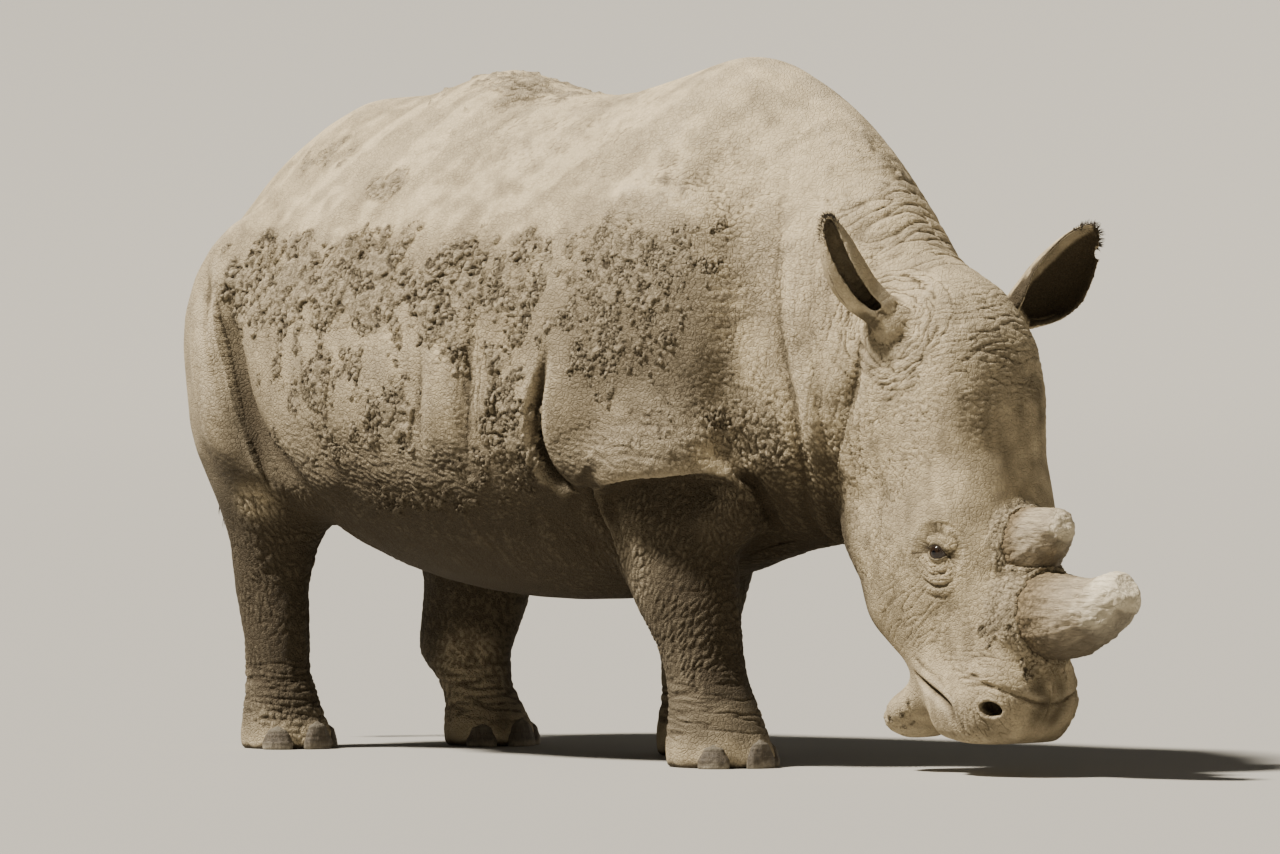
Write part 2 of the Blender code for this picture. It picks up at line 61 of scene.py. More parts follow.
CLOSE_GAPS = 0.0008       # swells each solid over the thin cuts between them
EAR_SWELL = 0.0035        # keeps the thin ears whole while they are remeshed
NAIL_INSET, HORN_INSET = 0.004, 0.008     # the skin goes on under nails and horns
HEAD_TURN = math.radians(-9.0)
NECK_PIVOT = np.array([0.20, 0.0, 0.0])
EYE_SPOT = np.array([0.852, 0.158, 0.540])      # in the head's own frame, before it turns
EAR_ROOT = np.array([0.700, 0.172, 1.085])
NOSTRIL = np.array([1.012, 0.136, 0.166])
ALL = slice(None)


# ---- meshes as arrays -----------------------------------------------------------------------
def read(items, key, width=1, kind=np.float32):
    values = np.empty(len(items) * width, kind)
    items.foreach_get(key, values)
    return values.reshape(-1, width) if width > 1 else values


def positions(mesh):
    return read(mesh.vertices, "co", 3).astype(np.float64)


def set_positions(mesh, co):
    mesh.vertices.foreach_set("co", np.ascontiguousarray(co, np.float32).ravel())
    mesh.update()


def edge_list(mesh):
    return read(mesh.edges, "vertices", 2, np.int32)


def unit(v):
    """A direction, or each row of an array of them, at length 1."""
    v = np.array(v, float)
    return v / (np.linalg.norm(v, axis=1)[:, None] if v.ndim > 1 else np.linalg.norm(v))


def neighbour_mean(values, edges, degree):
    """Mean of each vertex's neighbours, for an array of one or more columns."""
    a, b = edges[:, 0], edges[:, 1]
    count = len(degree)
    out = np.empty_like(values)
    for axis in range(values.shape[1]):
        column = values[:, axis]
        out[:, axis] = np.bincount(a, column[b], count) + np.bincount(b, column[a], count)
    return out / degree[:, None]


def relax(co, edges, rounds, keep_volume=True):
    """Smooths positions. With keep_volume every smoothing pass is undone in part by a swelling one."""
    degree = np.bincount(edges.ravel(), minlength=len(co)).astype(float)
    degree[degree == 0] = 1
    for _ in range(rounds):
        co = co + 0.63 * (neighbour_mean(co, edges, degree) - co)
        if keep_volume:
            co = co - 0.645 * (neighbour_mean(co, edges, degree) - co)
    return co


def relax_where(co, edges, rounds, weight, keep_volume=True):
    """Smooths only where a weight is above 0."""
    picked = weight > 0
    near = edges[picked[edges[:, 0]] | picked[edges[:, 1]]]
    used, local = np.unique(near, return_inverse=True)
    before = co[used]
    after = relax(before, local.reshape(-1, 2), rounds, keep_volume)
    co = co.copy()
    co[used] = before + weight[used][:, None] * (after - before)
    return co


def relaxed(obj, rounds):
    set_positions(obj.data, relax(positions(obj.data), edge_list(obj.data), rounds))
    return obj


def new_object(name, data):
    obj = bpy.data.objects.new(name, data)
    bpy.context.scene.collection.objects.link(obj)
    return obj


def mesh_of(name, bm):
    mesh = bpy.data.meshes.new(name)
    bm.to_mesh(mesh)
    bm.free()
    return mesh


def smooth_faces(mesh):
    mesh.polygons.foreach_set("use_smooth", [True] * len(mesh.polygons))


def applied(obj):
    """Replaces an object's mesh by what its modifiers make of it."""
    graph = bpy.context.evaluated_depsgraph_get()
    mesh = bpy.data.meshes.new_from_object(obj.evaluated_get(graph))
    obj.modifiers.clear()
    obj.data = mesh
    return obj


def swollen(name, amount, levels=0):
    """A copy of a CAD node, grown by an amount and rounded by subdivision."""
    obj = new_object("swollen", nodes[name].data.copy())
    weld = obj.modifiers.new("weld", "WELD")
    weld.merge_threshold = 0.00002
    if levels:
        rounder = obj.modifiers.new("rounder", "SUBSURF")
        rounder.levels = levels
        rounder.render_levels = levels
    swell = obj.modifiers.new("swell", "DISPLACE")
    swell.mid_level = 0.0
    swell.strength = amount
    return applied(obj)


def union_remesh(name, objects, voxel):
    bm = bmesh.new()
    for obj in objects:
        bm.from_mesh(obj.data)
        bpy.data.objects.remove(obj)
    obj = new_object(name, mesh_of(name, bm))
    remesh = obj.modifiers.new("remesh", "REMESH")
    remesh.mode = "VOXEL"
    remesh.voxel_size = voxel
    return applied(obj)


# ---- places: the working frame, and the head's own frame before it turned --------------------
def middle(name):
    low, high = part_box(name)
    return (np.array(low) + np.array(high)) / 2


TURN = np.array(Matrix.Rotation(HEAD_TURN, 3, "Z"))
OFFSET = (middle("eye_left") + middle("eye_right")) / 2 - (
    NECK_PIVOT + TURN @ (EYE_SPOT * (1, 0, 1) - NECK_PIVOT))


def in_head(p):
    return (p - NECK_PIVOT) @ TURN + NECK_PIVOT


def from_head(p):
    return (np.asarray(p, float) - NECK_PIVOT) @ TURN.T + NECK_PIVOT


def on_right(p):
    """The same places, with those of the left side mirrored to the right."""
    return np.column_stack([p[:, 0], -np.abs(p[:, 1]), p[:, 2]])


def side_of(name):
    return 1 if "left" in name else -1


def box_of(name):
    """A CAD node's box in the working frame."""
    return [np.array(c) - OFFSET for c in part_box(name)]


def inside_box(p, box, margin):
    return ((p > box[0] - margin) & (p < box[1] + margin)).all(axis=1)


def tree_of(name):
    """A CAD node's surface in the working frame, for finding what lies near."""
    mesh = nodes[name].data
    return BVHTree.FromPolygons([v.co - Vector(OFFSET) for v in mesh.vertices],
                                [f.vertices[:] for f in mesh.polygons])


# ---- noise ----------------------------------------------------------------------------------
def smooth(t):
    t = np.clip(t, 0.0, 1.0)
    return t * t * (3.0 - 2.0 * t)


def fade(value, start, stop):
    return smooth((value - start) / (stop - start))


def blob(p, centre, radii, core=0.45):
    """1 inside an ellipsoid's core, falling smoothly to 0 at its surface."""
    away = np.sqrt((((p - centre) / radii) ** 2).sum(axis=1))
    return 1.0 - fade(away, core, 1.0)


def scatter(cell, seed):
    """Three repeatable random numbers from 0 to 1 for each lattice cell."""
    c = cell.astype(np.int64).astype(np.uint32)
    h = (c[:, 0] * np.uint32(374761393) + c[:, 1] * np.uint32(668265263)
         + c[:, 2] * np.uint32(2246822519) + np.uint32(seed * 97 + 13))
    h = (h ^ (h >> np.uint32(13))) * np.uint32(1274126177)
    h = (h ^ (h >> np.uint32(15))) * np.uint32(2654435761)
    h ^= h >> np.uint32(16)
    mask = np.uint32(1023)
    return [((h >> np.uint32(s)) & mask).astype(np.float32) / 1023.0 for s in (0, 10, 20)]


CORNERS = [(i, j, k) for i in (0, 1) for j in (0, 1) for k in (0, 1)]
AROUND = [(i, j, k) for i in (-1, 0, 1) for j in (-1, 0, 1) for k in (-1, 0, 1)]


def noise(p, seed=0):
    """Gradient noise, about -1 to 1."""
    cell = np.floor(p)
    f = (p - cell).astype(np.float32)
    ease = f * f * f * (f * (f * 6 - 15) + 10)
    total = np.zeros(len(p), np.float32)
    for corner in CORNERS:
        gx, gy, gz = scatter(cell + corner, seed)
        off = f - np.array(corner, np.float32)
        dot = (gx * 2 - 1) * off[:, 0] + (gy * 2 - 1) * off[:, 1] + (gz * 2 - 1) * off[:, 2]
        for axis in range(3):
            dot = dot * (ease[:, axis] if corner[axis] else 1 - ease[:, axis])
        total += dot
    return total * 1.7


def fractal(p, octaves=3, seed=0):
    total, size = 0.0, 1.0
    for octave in range(octaves):
        total = total + size * noise(p * 2.0 ** octave, seed + octave)
        size *= 0.5
    return total


def wander(p, seed):
    """Three noises side by side."""
    return np.column_stack([noise(p, seed + k) for k in range(3)])


def cells(p, seed=0):
    """Distances to the nearest and second nearest of scattered points, one to a cell."""
    cell = np.floor(p)
    first = np.full(len(p), 9.0, np.float32)
    second = first.copy()
    f = (p - cell).astype(np.float32)
    for i, j, k in AROUND:
        jx, jy, jz = scatter(cell + (i, j, k), seed)
        away = (f[:, 0] - jx - i) ** 2 + (f[:, 1] - jy - j) ** 2 + (f[:, 2] - jz - k) ** 2
        second = np.minimum(second, np.maximum(first, away))
        first = np.minimum(first, away)
    return np.sqrt(first), np.sqrt(second)


def pillow(value, width):
    """0 on swellings and -1 in the sharp creases where a value passes through zero."""
    return np.sqrt(np.clip(np.abs(value) / width, 0, 1)) - 1.0


# ---- the skin's plain form ------------------------------------------------------------------
def names_with(word):
    return [n for n in nodes if word in n]


NAILS = names_with("_nail_")
HORNS = names_with("horn_")
EYES = names_with("eye_")
EARS = names_with("ear_")
FLESH = [n for n in nodes if n not in NAILS + HORNS + EYES + EARS + ["tail_tuft"]]


def plain_skin():
    parts = [swollen(n, CLOSE_GAPS) for n in FLESH + EYES]
    parts += [swollen(n, -NAIL_INSET) for n in NAILS]
    parts += [swollen(n, -HORN_INSET) for n in HORNS]
    body = relaxed(union_remesh("skin", parts, COARSE), 14)
    return relaxed(union_remesh("skin", [body] + [swollen(n, EAR_SWELL, 1) for n in EARS], FINE), 4)


def halve(obj, inside):
    """Cuts every edge whose two ends lie inside a region into two."""
    bm = bmesh.new()
    bm.from_mesh(obj.data)
    pick = inside(positions(obj.data) - OFFSET)
    edges = edge_list(obj.data)
    chosen = np.nonzero(pick[edges[:, 0]] & pick[edges[:, 1]])[0]
    bm.edges.ensure_lookup_table()
    bmesh.ops.subdivide_edges(bm, edges=[bm.edges[i] for i in chosen], cuts=1, use_grid_fill=True)
    bm.to_mesh(obj.data)
    bm.free()
    co = positions(obj.data)
    weight = inside(co - OFFSET).astype(float)
    set_positions(obj.data, relax_where(co, edge_list(obj.data), 2, weight))


def head_zone(p):
    h = in_head(p)
    return (h[:, 0] > 0.50) & (h[:, 0] + 0.55 * h[:, 2] > 0.92)


def near_side(p):
    """The near shoulder, neck, foreleg and flank, where the folds and the mud lie thickest."""
    x, y, z = p.T
    right = y < -0.04
    neck = right & (x > -0.30) & (x < 0.60) & (z < 1.35) & ~head_zone(p)
    flank = (y < -0.30) & (x > -1.45) & (x < -0.20) & (z > 0.62) & (z < 1.34)
    legs = right & (z < 0.70) & ((x > -0.30) | (x < -1.05))
    return neck | flank | legs


def face_spots(p):
    """Round the eyes and the nostrils."""
    h = on_right(in_head(p))
    eye = np.linalg.norm((h - (0.86, -0.17, 0.53)) / (1.0, 1.0, 1.15), axis=1) < 0.085
    return eye | (np.linalg.norm(h - (1.01, -0.12, 0.17), axis=1) < 0.075)


# ---- folds ----------------------------------------------------------------------------------
# The crease layer is painted shade in creases and cracks, the stain layer dirt with painted shade, and the dust
# layer dust with painted light in a few places.
LAYERS = ("crease", "mud", "dust", "stain", "hollow")      # what the hide's material reads


class Skin:
    """A surface's points in the working frame, with what is worked out from them."""

    def __init__(self, obj):
        self.obj = obj
        self.co = positions(obj.data) - OFFSET
        self.edges = edge_list(obj.data)
        self.fresh_normals()
        self.base, self.base_normal = self.co.copy(), self.normal.copy()
        for name in (*LAYERS, "leaf", "cup"):
            setattr(self, name, np.zeros(len(self.co), np.float32))

    def fresh_normals(self):
        set_positions(self.obj.data, self.co + OFFSET)
        self.normal = read(self.obj.data.vertices, "normal", 3).astype(np.float64)

    def move(self, where, amount):
        """Moves picked points along their normals."""
        self.co[where] += self.normal[where] * amount[:, None]

    def add(self, name, values, where=ALL):
        """Sets a layer to the greater of what it is and new values."""
        layer = getattr(self, name)
        layer[where] = np.maximum(layer[where], values)


def rounded(path, steps=6):
    """A curve through a path's points."""
    p = np.asarray(path, float)
    p = np.vstack([2 * p[0] - p[1], p, 2 * p[-1] - p[-2]])
    out = []
    for k in range(1, len(p) - 2):
        for t in np.arange(steps) / steps:
            out.append(0.5 * (2 * p[k] + (p[k + 1] - p[k - 1]) * t
                              + (2 * p[k - 1] - 5 * p[k] + 4 * p[k + 1] - p[k + 2]) * t ** 2
                              + (3 * p[k] - p[k - 1] - 3 * p[k + 1] + p[k + 2]) * t ** 3))
    return np.array(out + [p[-2]])


def beside(body, path, reach):
    """Points within reach of a path: which, their signed distance, share of its length, sideways."""
    line = rounded(path)
    where = np.nonzero(inside_box(body.co, (line.min(axis=0), line.max(axis=0)), reach))[0]
    p = body.co[where]
    best = np.full(len(p), 1e9)
    share = np.zeros(len(p))
    nearest = np.zeros_like(p)
    heading = np.zeros_like(p)
    done, total = 0.0, np.linalg.norm(np.diff(line, axis=0), axis=1).sum()
    for a, b in zip(line[:-1], line[1:]):
        step = b - a
        length = np.linalg.norm(step)
        t = np.clip((p - a) @ step / length ** 2, 0, 1)
        point = a + t[:, None] * step
        away = ((p - point) ** 2).sum(axis=1)
        closer = away < best
        best[closer] = away[closer]
        nearest[closer] = point[closer]
        heading[closer] = step / length
        share[closer] = (done + t[closer] * length) / total
        done += length
    side = np.cross(body.normal[where], heading)
    side /= np.linalg.norm(side, axis=1)[:, None] + 1e-9
    distance = np.sqrt(best) * np.where(((p - nearest) * side).sum(axis=1) >= 0, 1, -1)
    keep = np.sqrt(best) < reach
    return where[keep], distance[keep], share[keep], side[keep]


def swell_shape(t):
    """0 at 0, 1 at 1, and dying away beyond."""
    return np.where(t > 0, t * np.exp(1 - np.clip(t, 0, 20)), 0.0)


def fold(body, path, depth, width, left, right, taper, mirror=False, dark=1.0, lean=0.0):
    """A crease along a path, with a swelling (height, spread) to its left and right, and painted shade along its
    bottom.
    """
    path = np.asarray(path, float)
    if mirror:
        path = path * (1, -1, 1)
        left, right = right, left
        lean = -lean
    reach = 4.0 * max(left[1], right[1], width)
    where, s, share, side = beside(body, path, reach)
    strength = fade(share, 0.0, taper[0]) * (1 - fade(share, 1 - taper[1], 1.0))
    end = 1 - fade(np.abs(s), 0.6 * reach, reach)
    groove = np.exp(-(s / width) ** 2)
    up = left[0] * swell_shape(s / left[1]) + right[0] * swell_shape(-s / right[1])
    body.move(where, strength * end * (up - depth * groove))
    over = left[1] if lean > 0 else right[1]
    push = -lean * swell_shape(s / over if lean > 0 else -s / over)
    body.co[where] += side * (push * strength * end)[:, None]
    # Painted shade along the crease's bottom.
    body.add("crease", dark * strength * np.exp(-(s / (0.8 * width)) ** 2) * min(1.0, depth / 0.010), where)


def shifted(path, dx=0.0, dz=0.0):
    return [(x + dx, y, z + dz) for x, y, z in path]


# Paths run along the right side, in the working frame.
ARM_FOLD = [(-0.205, -0.452, 0.650), (-0.155, -0.450, 0.672), (-0.080, -0.452, 0.697), (0.015, -0.450, 0.716),
            (0.100, -0.430, 0.724), (0.172, -0.400, 0.718), (0.226, -0.360, 0.700), (0.262, -0.305, 0.668)]
SHOULDER_CREASE = [(-0.228, -0.518, 1.060), (-0.242, -0.528, 0.950), (-0.256, -0.529, 0.875),
                   (-0.257, -0.520, 0.800), (-0.244, -0.500, 0.740), (-0.223, -0.476, 0.700),
                   (-0.180, -0.450, 0.655)]
LEG_REAR = [(-0.152, -0.451, 0.700), (-0.160, -0.430, 0.654), (-0.166, -0.390, 0.595), (-0.166, -0.350, 0.535),
            (-0.150, -0.310, 0.475)]
FLANK_REAR = [(-0.618, -0.540, 1.100), (-0.611, -0.562, 0.996), (-0.608, -0.572, 0.897),
              (-0.610, -0.567, 0.798), (-0.616, -0.545, 0.700)]
FLANK_FRONT = [(-0.492, -0.510, 1.190), (-0.470, -0.546, 1.046), (-0.458, -0.559, 0.947),
               (-0.459, -0.562, 0.849), (-0.471, -0.549, 0.750), (-0.480, -0.520, 0.660)]
FLANK_MIDDLE = [(-0.380, -0.545, 1.020), (-0.372, -0.552, 0.900), (-0.385, -0.545, 0.790)]
THIGH = [(-1.385, -0.405, 1.230), (-1.377, -0.424, 1.166), (-1.352, -0.440, 1.052), (-1.313, -0.443, 0.939),
         (-1.259, -0.446, 0.838), (-1.186, -0.448, 0.764), (-1.102, -0.446, 0.689), (-1.030, -0.400, 0.610)]
THIGH_WALL = [(-1.455, -0.400, 1.200), (-1.440, -0.420, 1.100), (-1.410, -0.430, 0.980), (-1.372, -0.436, 0.870),
              (-1.335, -0.440, 0.770), (-1.305, -0.440, 0.690), (-1.290, -0.430, 0.620)]
THIGH_REAR = [(-1.526, -0.358, 1.267), (-1.480, -0.417, 1.140), (-1.418, -0.437, 0.938), (-1.354, -0.438, 0.812)]
NECK_FOLD = [(0.271, -0.171, 1.518), (0.291, -0.230, 1.415), (0.317, -0.272, 1.310), (0.347, -0.310, 1.171),
             (0.365, -0.326, 1.064), (0.390, -0.325, 0.953), (0.403, -0.310, 0.860), (0.389, -0.265, 0.733),
             (0.336, -0.182, 0.608), (0.305, -0.083, 0.557), (0.300, 0.000, 0.545)]
THROAT = [(0.600, -0.270, 1.100), (0.594, -0.275, 1.060), (0.577, -0.285, 0.954), (0.536, -0.263, 0.832),
          (0.470, -0.217, 0.709)]
BRISKET = [(0.225, -0.355, 0.760), (0.238, -0.335, 0.725), (0.258, -0.293, 0.692), (0.238, -0.207, 0.607),
           (0.211, -0.140, 0.564)]
NECK_MIDDLE = [(0.470, -0.300, 1.060), (0.478, -0.310, 0.950), (0.470, -0.285, 0.840), (0.440, -0.230, 0.730)]

FORE, HIND = -0.150, 0.110      # how far ahead the left legs stand of the right ones
FAINTER = 0.6                   # share of a fold's size on the left side, where it is named as fainter
# Path, its shift on the left side, what is fainter there (depth, left or right swelling), depth, width,
# height and spread of the swellings to its left and right, the taper of its ends, and more.
BODY_FOLDS = (
    (ARM_FOLD, FORE, "", 0.018, 0.010, (0.034, 0.040), (-0.008, 0.030), (0.30, 0.40), {"lean": 0.020}),
    (LEG_REAR, FORE, "", 0.018, 0.014, (0.012, 0.040), (-0.014, 0.045), (0.10, 0.35), {}),
    (SHOULDER_CREASE, FORE, "", 0.034, 0.014, (0.014, 0.055), (0.020, 0.026), (0.45, 0.10), {}),
    (FLANK_REAR, 0, "dl", 0.012, 0.026, (0.014, 0.052), (-0.005, 0.045), (0.55, 0.50), {"dark": 0.15}),
    (FLANK_FRONT, 0, "dr", 0.014, 0.024, (-0.003, 0.040), (0.012, 0.052), (0.50, 0.50), {"dark": 0.30}),
    (FLANK_MIDDLE, 0, "d", 0.006, 0.016, (0.003, 0.030), (0.005, 0.030), (0.4, 0.4), {"dark": 0.30}),
    (THIGH_WALL, HIND, "lr", 0.0, 0.020, (-0.034, 0.026), (0.032, 0.045), (0.35, 0.50), {"dark": 0.0}),
    (THIGH, HIND, "", 0.014, 0.013, (0.022, 0.046), (-0.030, 0.032), (0.34, 0.10), {"dark": 0.6}),
    (THIGH_REAR, 0, "", 0.007, 0.020, (0.010, 0.035), (0.003, 0.030), (0.4, 0.4), {"dark": 0.3}),
    (NECK_FOLD, 0, "", 0.015, 0.020, (0.014, 0.050), (-0.006, 0.046), (0.60, 0.05), {"dark": 0.35}),
    (NECK_MIDDLE, 0, "", 0.005, 0.018, (0.005, 0.032), (0.005, 0.032), (0.4, 0.3), {"dark": 0.3}),
    (THROAT, 0, "", 0.012, 0.014, (0.010, 0.040), (0.002, 0.040), (0.35, 0.15), {"dark": 0.5}),
    (BRISKET, 0, "", 0.016, 0.014, (0.006, 0.030), (0.010, 0.030), (0.25, 0.15), {}),
)


def sink_below(body, path, depth, reach, mirror=False):
    """Pushes the skin under a fold inwards, most just below it, so that the fold hangs over."""
    line = rounded(path)
    side = 1 if mirror else -1
    p = body.co
    where = np.nonzero((side * p[:, 1] > 0.10) & (p[:, 0] > line[0, 0] - 0.02) & (p[:, 0] < line[-1, 0] + 0.02)
                       & (p[:, 2] > line[:, 2].min() - 2.2 * reach) & (p[:, 2] < line[:, 2].max() + 0.01))[0]
    q = p[where]
    level = np.interp(q[:, 0], line[:, 0], line[:, 2])
    below = (level - q[:, 2]) / reach
    along = (q[:, 0] - line[0, 0]) / (line[-1, 0] - line[0, 0])
    ends = fade(along, 0.0, 0.18) * (1 - fade(along, 0.75, 1.0))
    outer = fade(side * body.normal[where, 1], 0.05, 0.60)
    shape = fade(below, -0.02, 0.07) * np.exp(-np.clip(below, 0, 9) ** 1.5)
    body.co[where, 1] -= side * depth * shape * ends * outer


def body_folds(body):
    for mirror in (False, True):
        sink_below(body, shifted(ARM_FOLD, FORE * mirror, 0.004), 0.065, 0.170, mirror)
        for path, shift, fainter, depth, width, left, right, taper, more in BODY_FOLDS:
            d, l, r = (FAINTER if mirror and key in fainter else 1.0 for key in "dlr")
            fold(body, shifted(path, shift * mirror), depth * d, width, (left[0] * l, left[1]),
                 (right[0] * r, right[1]), taper, mirror, **more)
    body.fresh_normals()


# ---- face -----------------------------------------------------------------------------------
def pit(body, centre, inward, across, radii, depth, rim):
    """A hollow with a raised rim: an ellipse (radii along across and up) pushed inward, its inside darkened as
    painted shade.
    """
    i = unit(inward)
    a = unit(across - i * (across @ i))
    up = np.cross(i, a)
    p = in_head(body.co) - centre
    where = np.nonzero((np.abs(p) < 3.0 * max(radii)).all(axis=1) & ((body.normal @ (TURN @ -i)) > -0.2))[0]
    u, v = (p[where] @ a) / radii[0], (p[where] @ up) / radii[1]
    r = np.sqrt(u * u + v * v)
    down = (1 - fade(r, 0.55, 1.05)) * depth
    ring = np.exp(-((r - 1.30) / 0.28) ** 2) * rim
    body.co[where] += (down - ring)[:, None] * (TURN @ i)
    # Painted shade inside the hollow.
    body.add("stain", 1 - fade(r, 0.6, 1.15), where)


LID = 0.0034              # how far the lids stand off the eyeball
OPENING = (0.0265, 0.0180, 0.0140)        # half length, height of the upper and of the lower lid's arc
EYE_SLOPE = math.radians(12.0)            # the front corner lies lower than the rear one


def eye_axes(side):
    """Outward, along the opening and upward directions of an eye, in the working frame."""
    out = unit([0.22, side * 1.0, 0.0])
    along = np.array([math.cos(EYE_SLOPE) * abs(out[1]), -side * out[0], -math.sin(EYE_SLOPE)])
    along = unit(along - out * (along @ out))
    up = np.cross(along, out) * (1 if side < 0 else -1)
    return TURN @ out, TURN @ along, TURN @ (up * np.sign(up[2]))


def eye_of(name):
    """Middle, radius and side of an eye."""
    low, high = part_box(name)
    return middle(name) - OFFSET, (high[0] - low[0]) / 2, side_of(name)


def eyelids(body, name):
    centre, ball, side = eye_of(name)
    out, along, up = eye_axes(side)
    p = body.co - centre
    where = np.nonzero(np.linalg.norm(p, axis=1) < 0.075)[0]
    where = where[(p[where] @ out) > -0.004]
    p = p[where]
    r = np.linalg.norm(p, axis=1)
    a, b = p @ along, p @ up
    scale = ball / r
    a, b = a * scale, b * scale
    share = np.clip(a / OPENING[0], -1.6, 1.6)
    arc = np.where(b > 0, OPENING[1], OPENING[2]) * (1 - np.abs(share) ** 2.2)
    edge = np.minimum(arc - np.abs(b), (1 - np.abs(share)) * 0.5 * OPENING[0])
    inside = fade(edge, -0.0002, 0.0016)
    lid = ball + LID + 0.0016 * np.exp(-((edge + 0.0022) / 0.0020) ** 2)
    lid = lid + np.where(b > 0, 0.0012, 0.0) * np.exp(-((edge + 0.003) / 0.004) ** 2)
    near_rim = 1 - fade(-edge, 0.003, 0.010)
    higher = 0.5 * (lid + r + np.sqrt((lid - r) ** 2 + 0.003 ** 2))
    target = lid * near_rim + (higher * (1 - near_rim))
    close = 1 - fade(-edge, 0.006, 0.038)
    target = target * close + r * (1 - close)
    target = target * (1 - inside) + (0.72 * ball) * inside
    body.co[where] = centre + p * (target / r)[:, None]
    rim = 0.85 * np.exp(-((edge + 0.0015) / 0.0035) ** 2)
    body.add("stain", np.maximum(rim, inside), where)


# Paths beside the right eye, nose and mouth, in the head's own frame.
BROW = [(0.800, -0.186, 0.585), (0.826, -0.190, 0.600), (0.862, -0.186, 0.609), (0.900, -0.168, 0.604),
        (0.926, -0.145, 0.585)]
UPPER_LID = [(0.818, -0.190, 0.548), (0.836, -0.192, 0.566), (0.862, -0.190, 0.572), (0.888, -0.180, 0.560)]
LOWER_LID = [(0.816, -0.186, 0.528), (0.836, -0.186, 0.512), (0.862, -0.182, 0.508), (0.888, -0.172, 0.518)]
BAG_UPPER = [(0.806, -0.180, 0.506), (0.832, -0.176, 0.490), (0.864, -0.170, 0.488), (0.896, -0.160, 0.506)]
BAG_LOWER = [(0.794, -0.176, 0.482), (0.826, -0.168, 0.464), (0.866, -0.160, 0.460), (0.906, -0.148, 0.482)]
BAG_LOWEST = [(0.790, -0.170, 0.452), (0.824, -0.162, 0.436), (0.868, -0.152, 0.434), (0.906, -0.140, 0.454)]
NOSE_FOLD = [(0.915, -0.152, 0.214), (0.948, -0.150, 0.222), (0.995, -0.138, 0.224), (1.040, -0.106, 0.208),
             (1.070, -0.050, 0.184), (1.078, 0.000, 0.176)]
NOSE_FOLD_UPPER = [(0.905, -0.152, 0.235), (0.950, -0.146, 0.245), (1.005, -0.130, 0.243), (1.050, -0.090, 0.228)]
MOUTH = [(0.690, -0.085, 0.262), (0.716, -0.118, 0.240), (0.774, -0.133, 0.219), (0.845, -0.153, 0.193),
         (0.890, -0.155, 0.165), (0.905, -0.140, 0.135), (0.905, -0.080, 0.115), (0.905, 0.000, 0.110)]
LIP_CORNER = [(0.700, -0.120, 0.290), (0.760, -0.140, 0.262), (0.830, -0.155, 0.240), (0.880, -0.158, 0.205)]

# Path, depth, width, the swellings to its left and right, the taper of its ends, and the darkness of the painted
# shade in its crease.
FACE_FOLDS = (
    (BROW, 0.0024, 0.0065, (0.003, 0.014), (0.004, 0.022), (0.4, 0.4), 0.6),
    (BAG_UPPER, 0.0045, 0.0042, (0.0040, 0.009), (0.0035, 0.009), (0.4, 0.4), 1.0),
    (BAG_LOWER, 0.0040, 0.0050, (0.0035, 0.012), (0.003, 0.012), (0.4, 0.4), 1.0),
    (BAG_LOWEST, 0.0028, 0.0055, (0.003, 0.013), (0.002, 0.012), (0.4, 0.4), 1.0),
    (NOSE_FOLD, 0.0055, 0.0065, (0.006, 0.016), (0.003, 0.018), (0.40, 0.02), 0.6),
    (NOSE_FOLD_UPPER, 0.0030, 0.0060, (0.002, 0.012), (0.002, 0.012), (0.3, 0.3), 1.0),
    (MOUTH, 0.0170, 0.0075, (0.006, 0.020), (0.006, 0.020), (0.30, 0.02), 0.8),
    (LIP_CORNER, 0.0040, 0.0070, (0.003, 0.015), (0.003, 0.015), (0.3, 0.3), 1.0),
)
LID_FOLDS = (
    (UPPER_LID, 0.0024, 0.0028, (0.0016, 0.005), (0.0016, 0.005), (0.3, 0.3), 1.0),
    (LOWER_LID, 0.0024, 0.0026, (0.0014, 0.005), (0.0014, 0.005), (0.3, 0.3), 1.0),
)


def head_folds(body, table):
    for path, depth, width, left, right, taper, dark in table:
        for flip, sides in (((1, 1, 1), (left, right)), ((1, -1, 1), (right, left))):
            fold(body, from_head(np.array(path) * flip), depth, width, *sides, taper, dark=dark)


def face_folds(body):
    head_folds(body, FACE_FOLDS)
    body.fresh_normals()
    for name in EYES:
        eyelids(body, name)
    body.fresh_normals()
    head_folds(body, LID_FOLDS)
    for side in (-1, 1):
        flip = np.array((1, side, 1))
        pit(body, NOSTRIL * flip, flip * (-0.55, -0.80, 0.12), flip * (0.8, -0.55, -0.25), (0.030, 0.018), 0.044,
            0.003)
    body.fresh_normals()


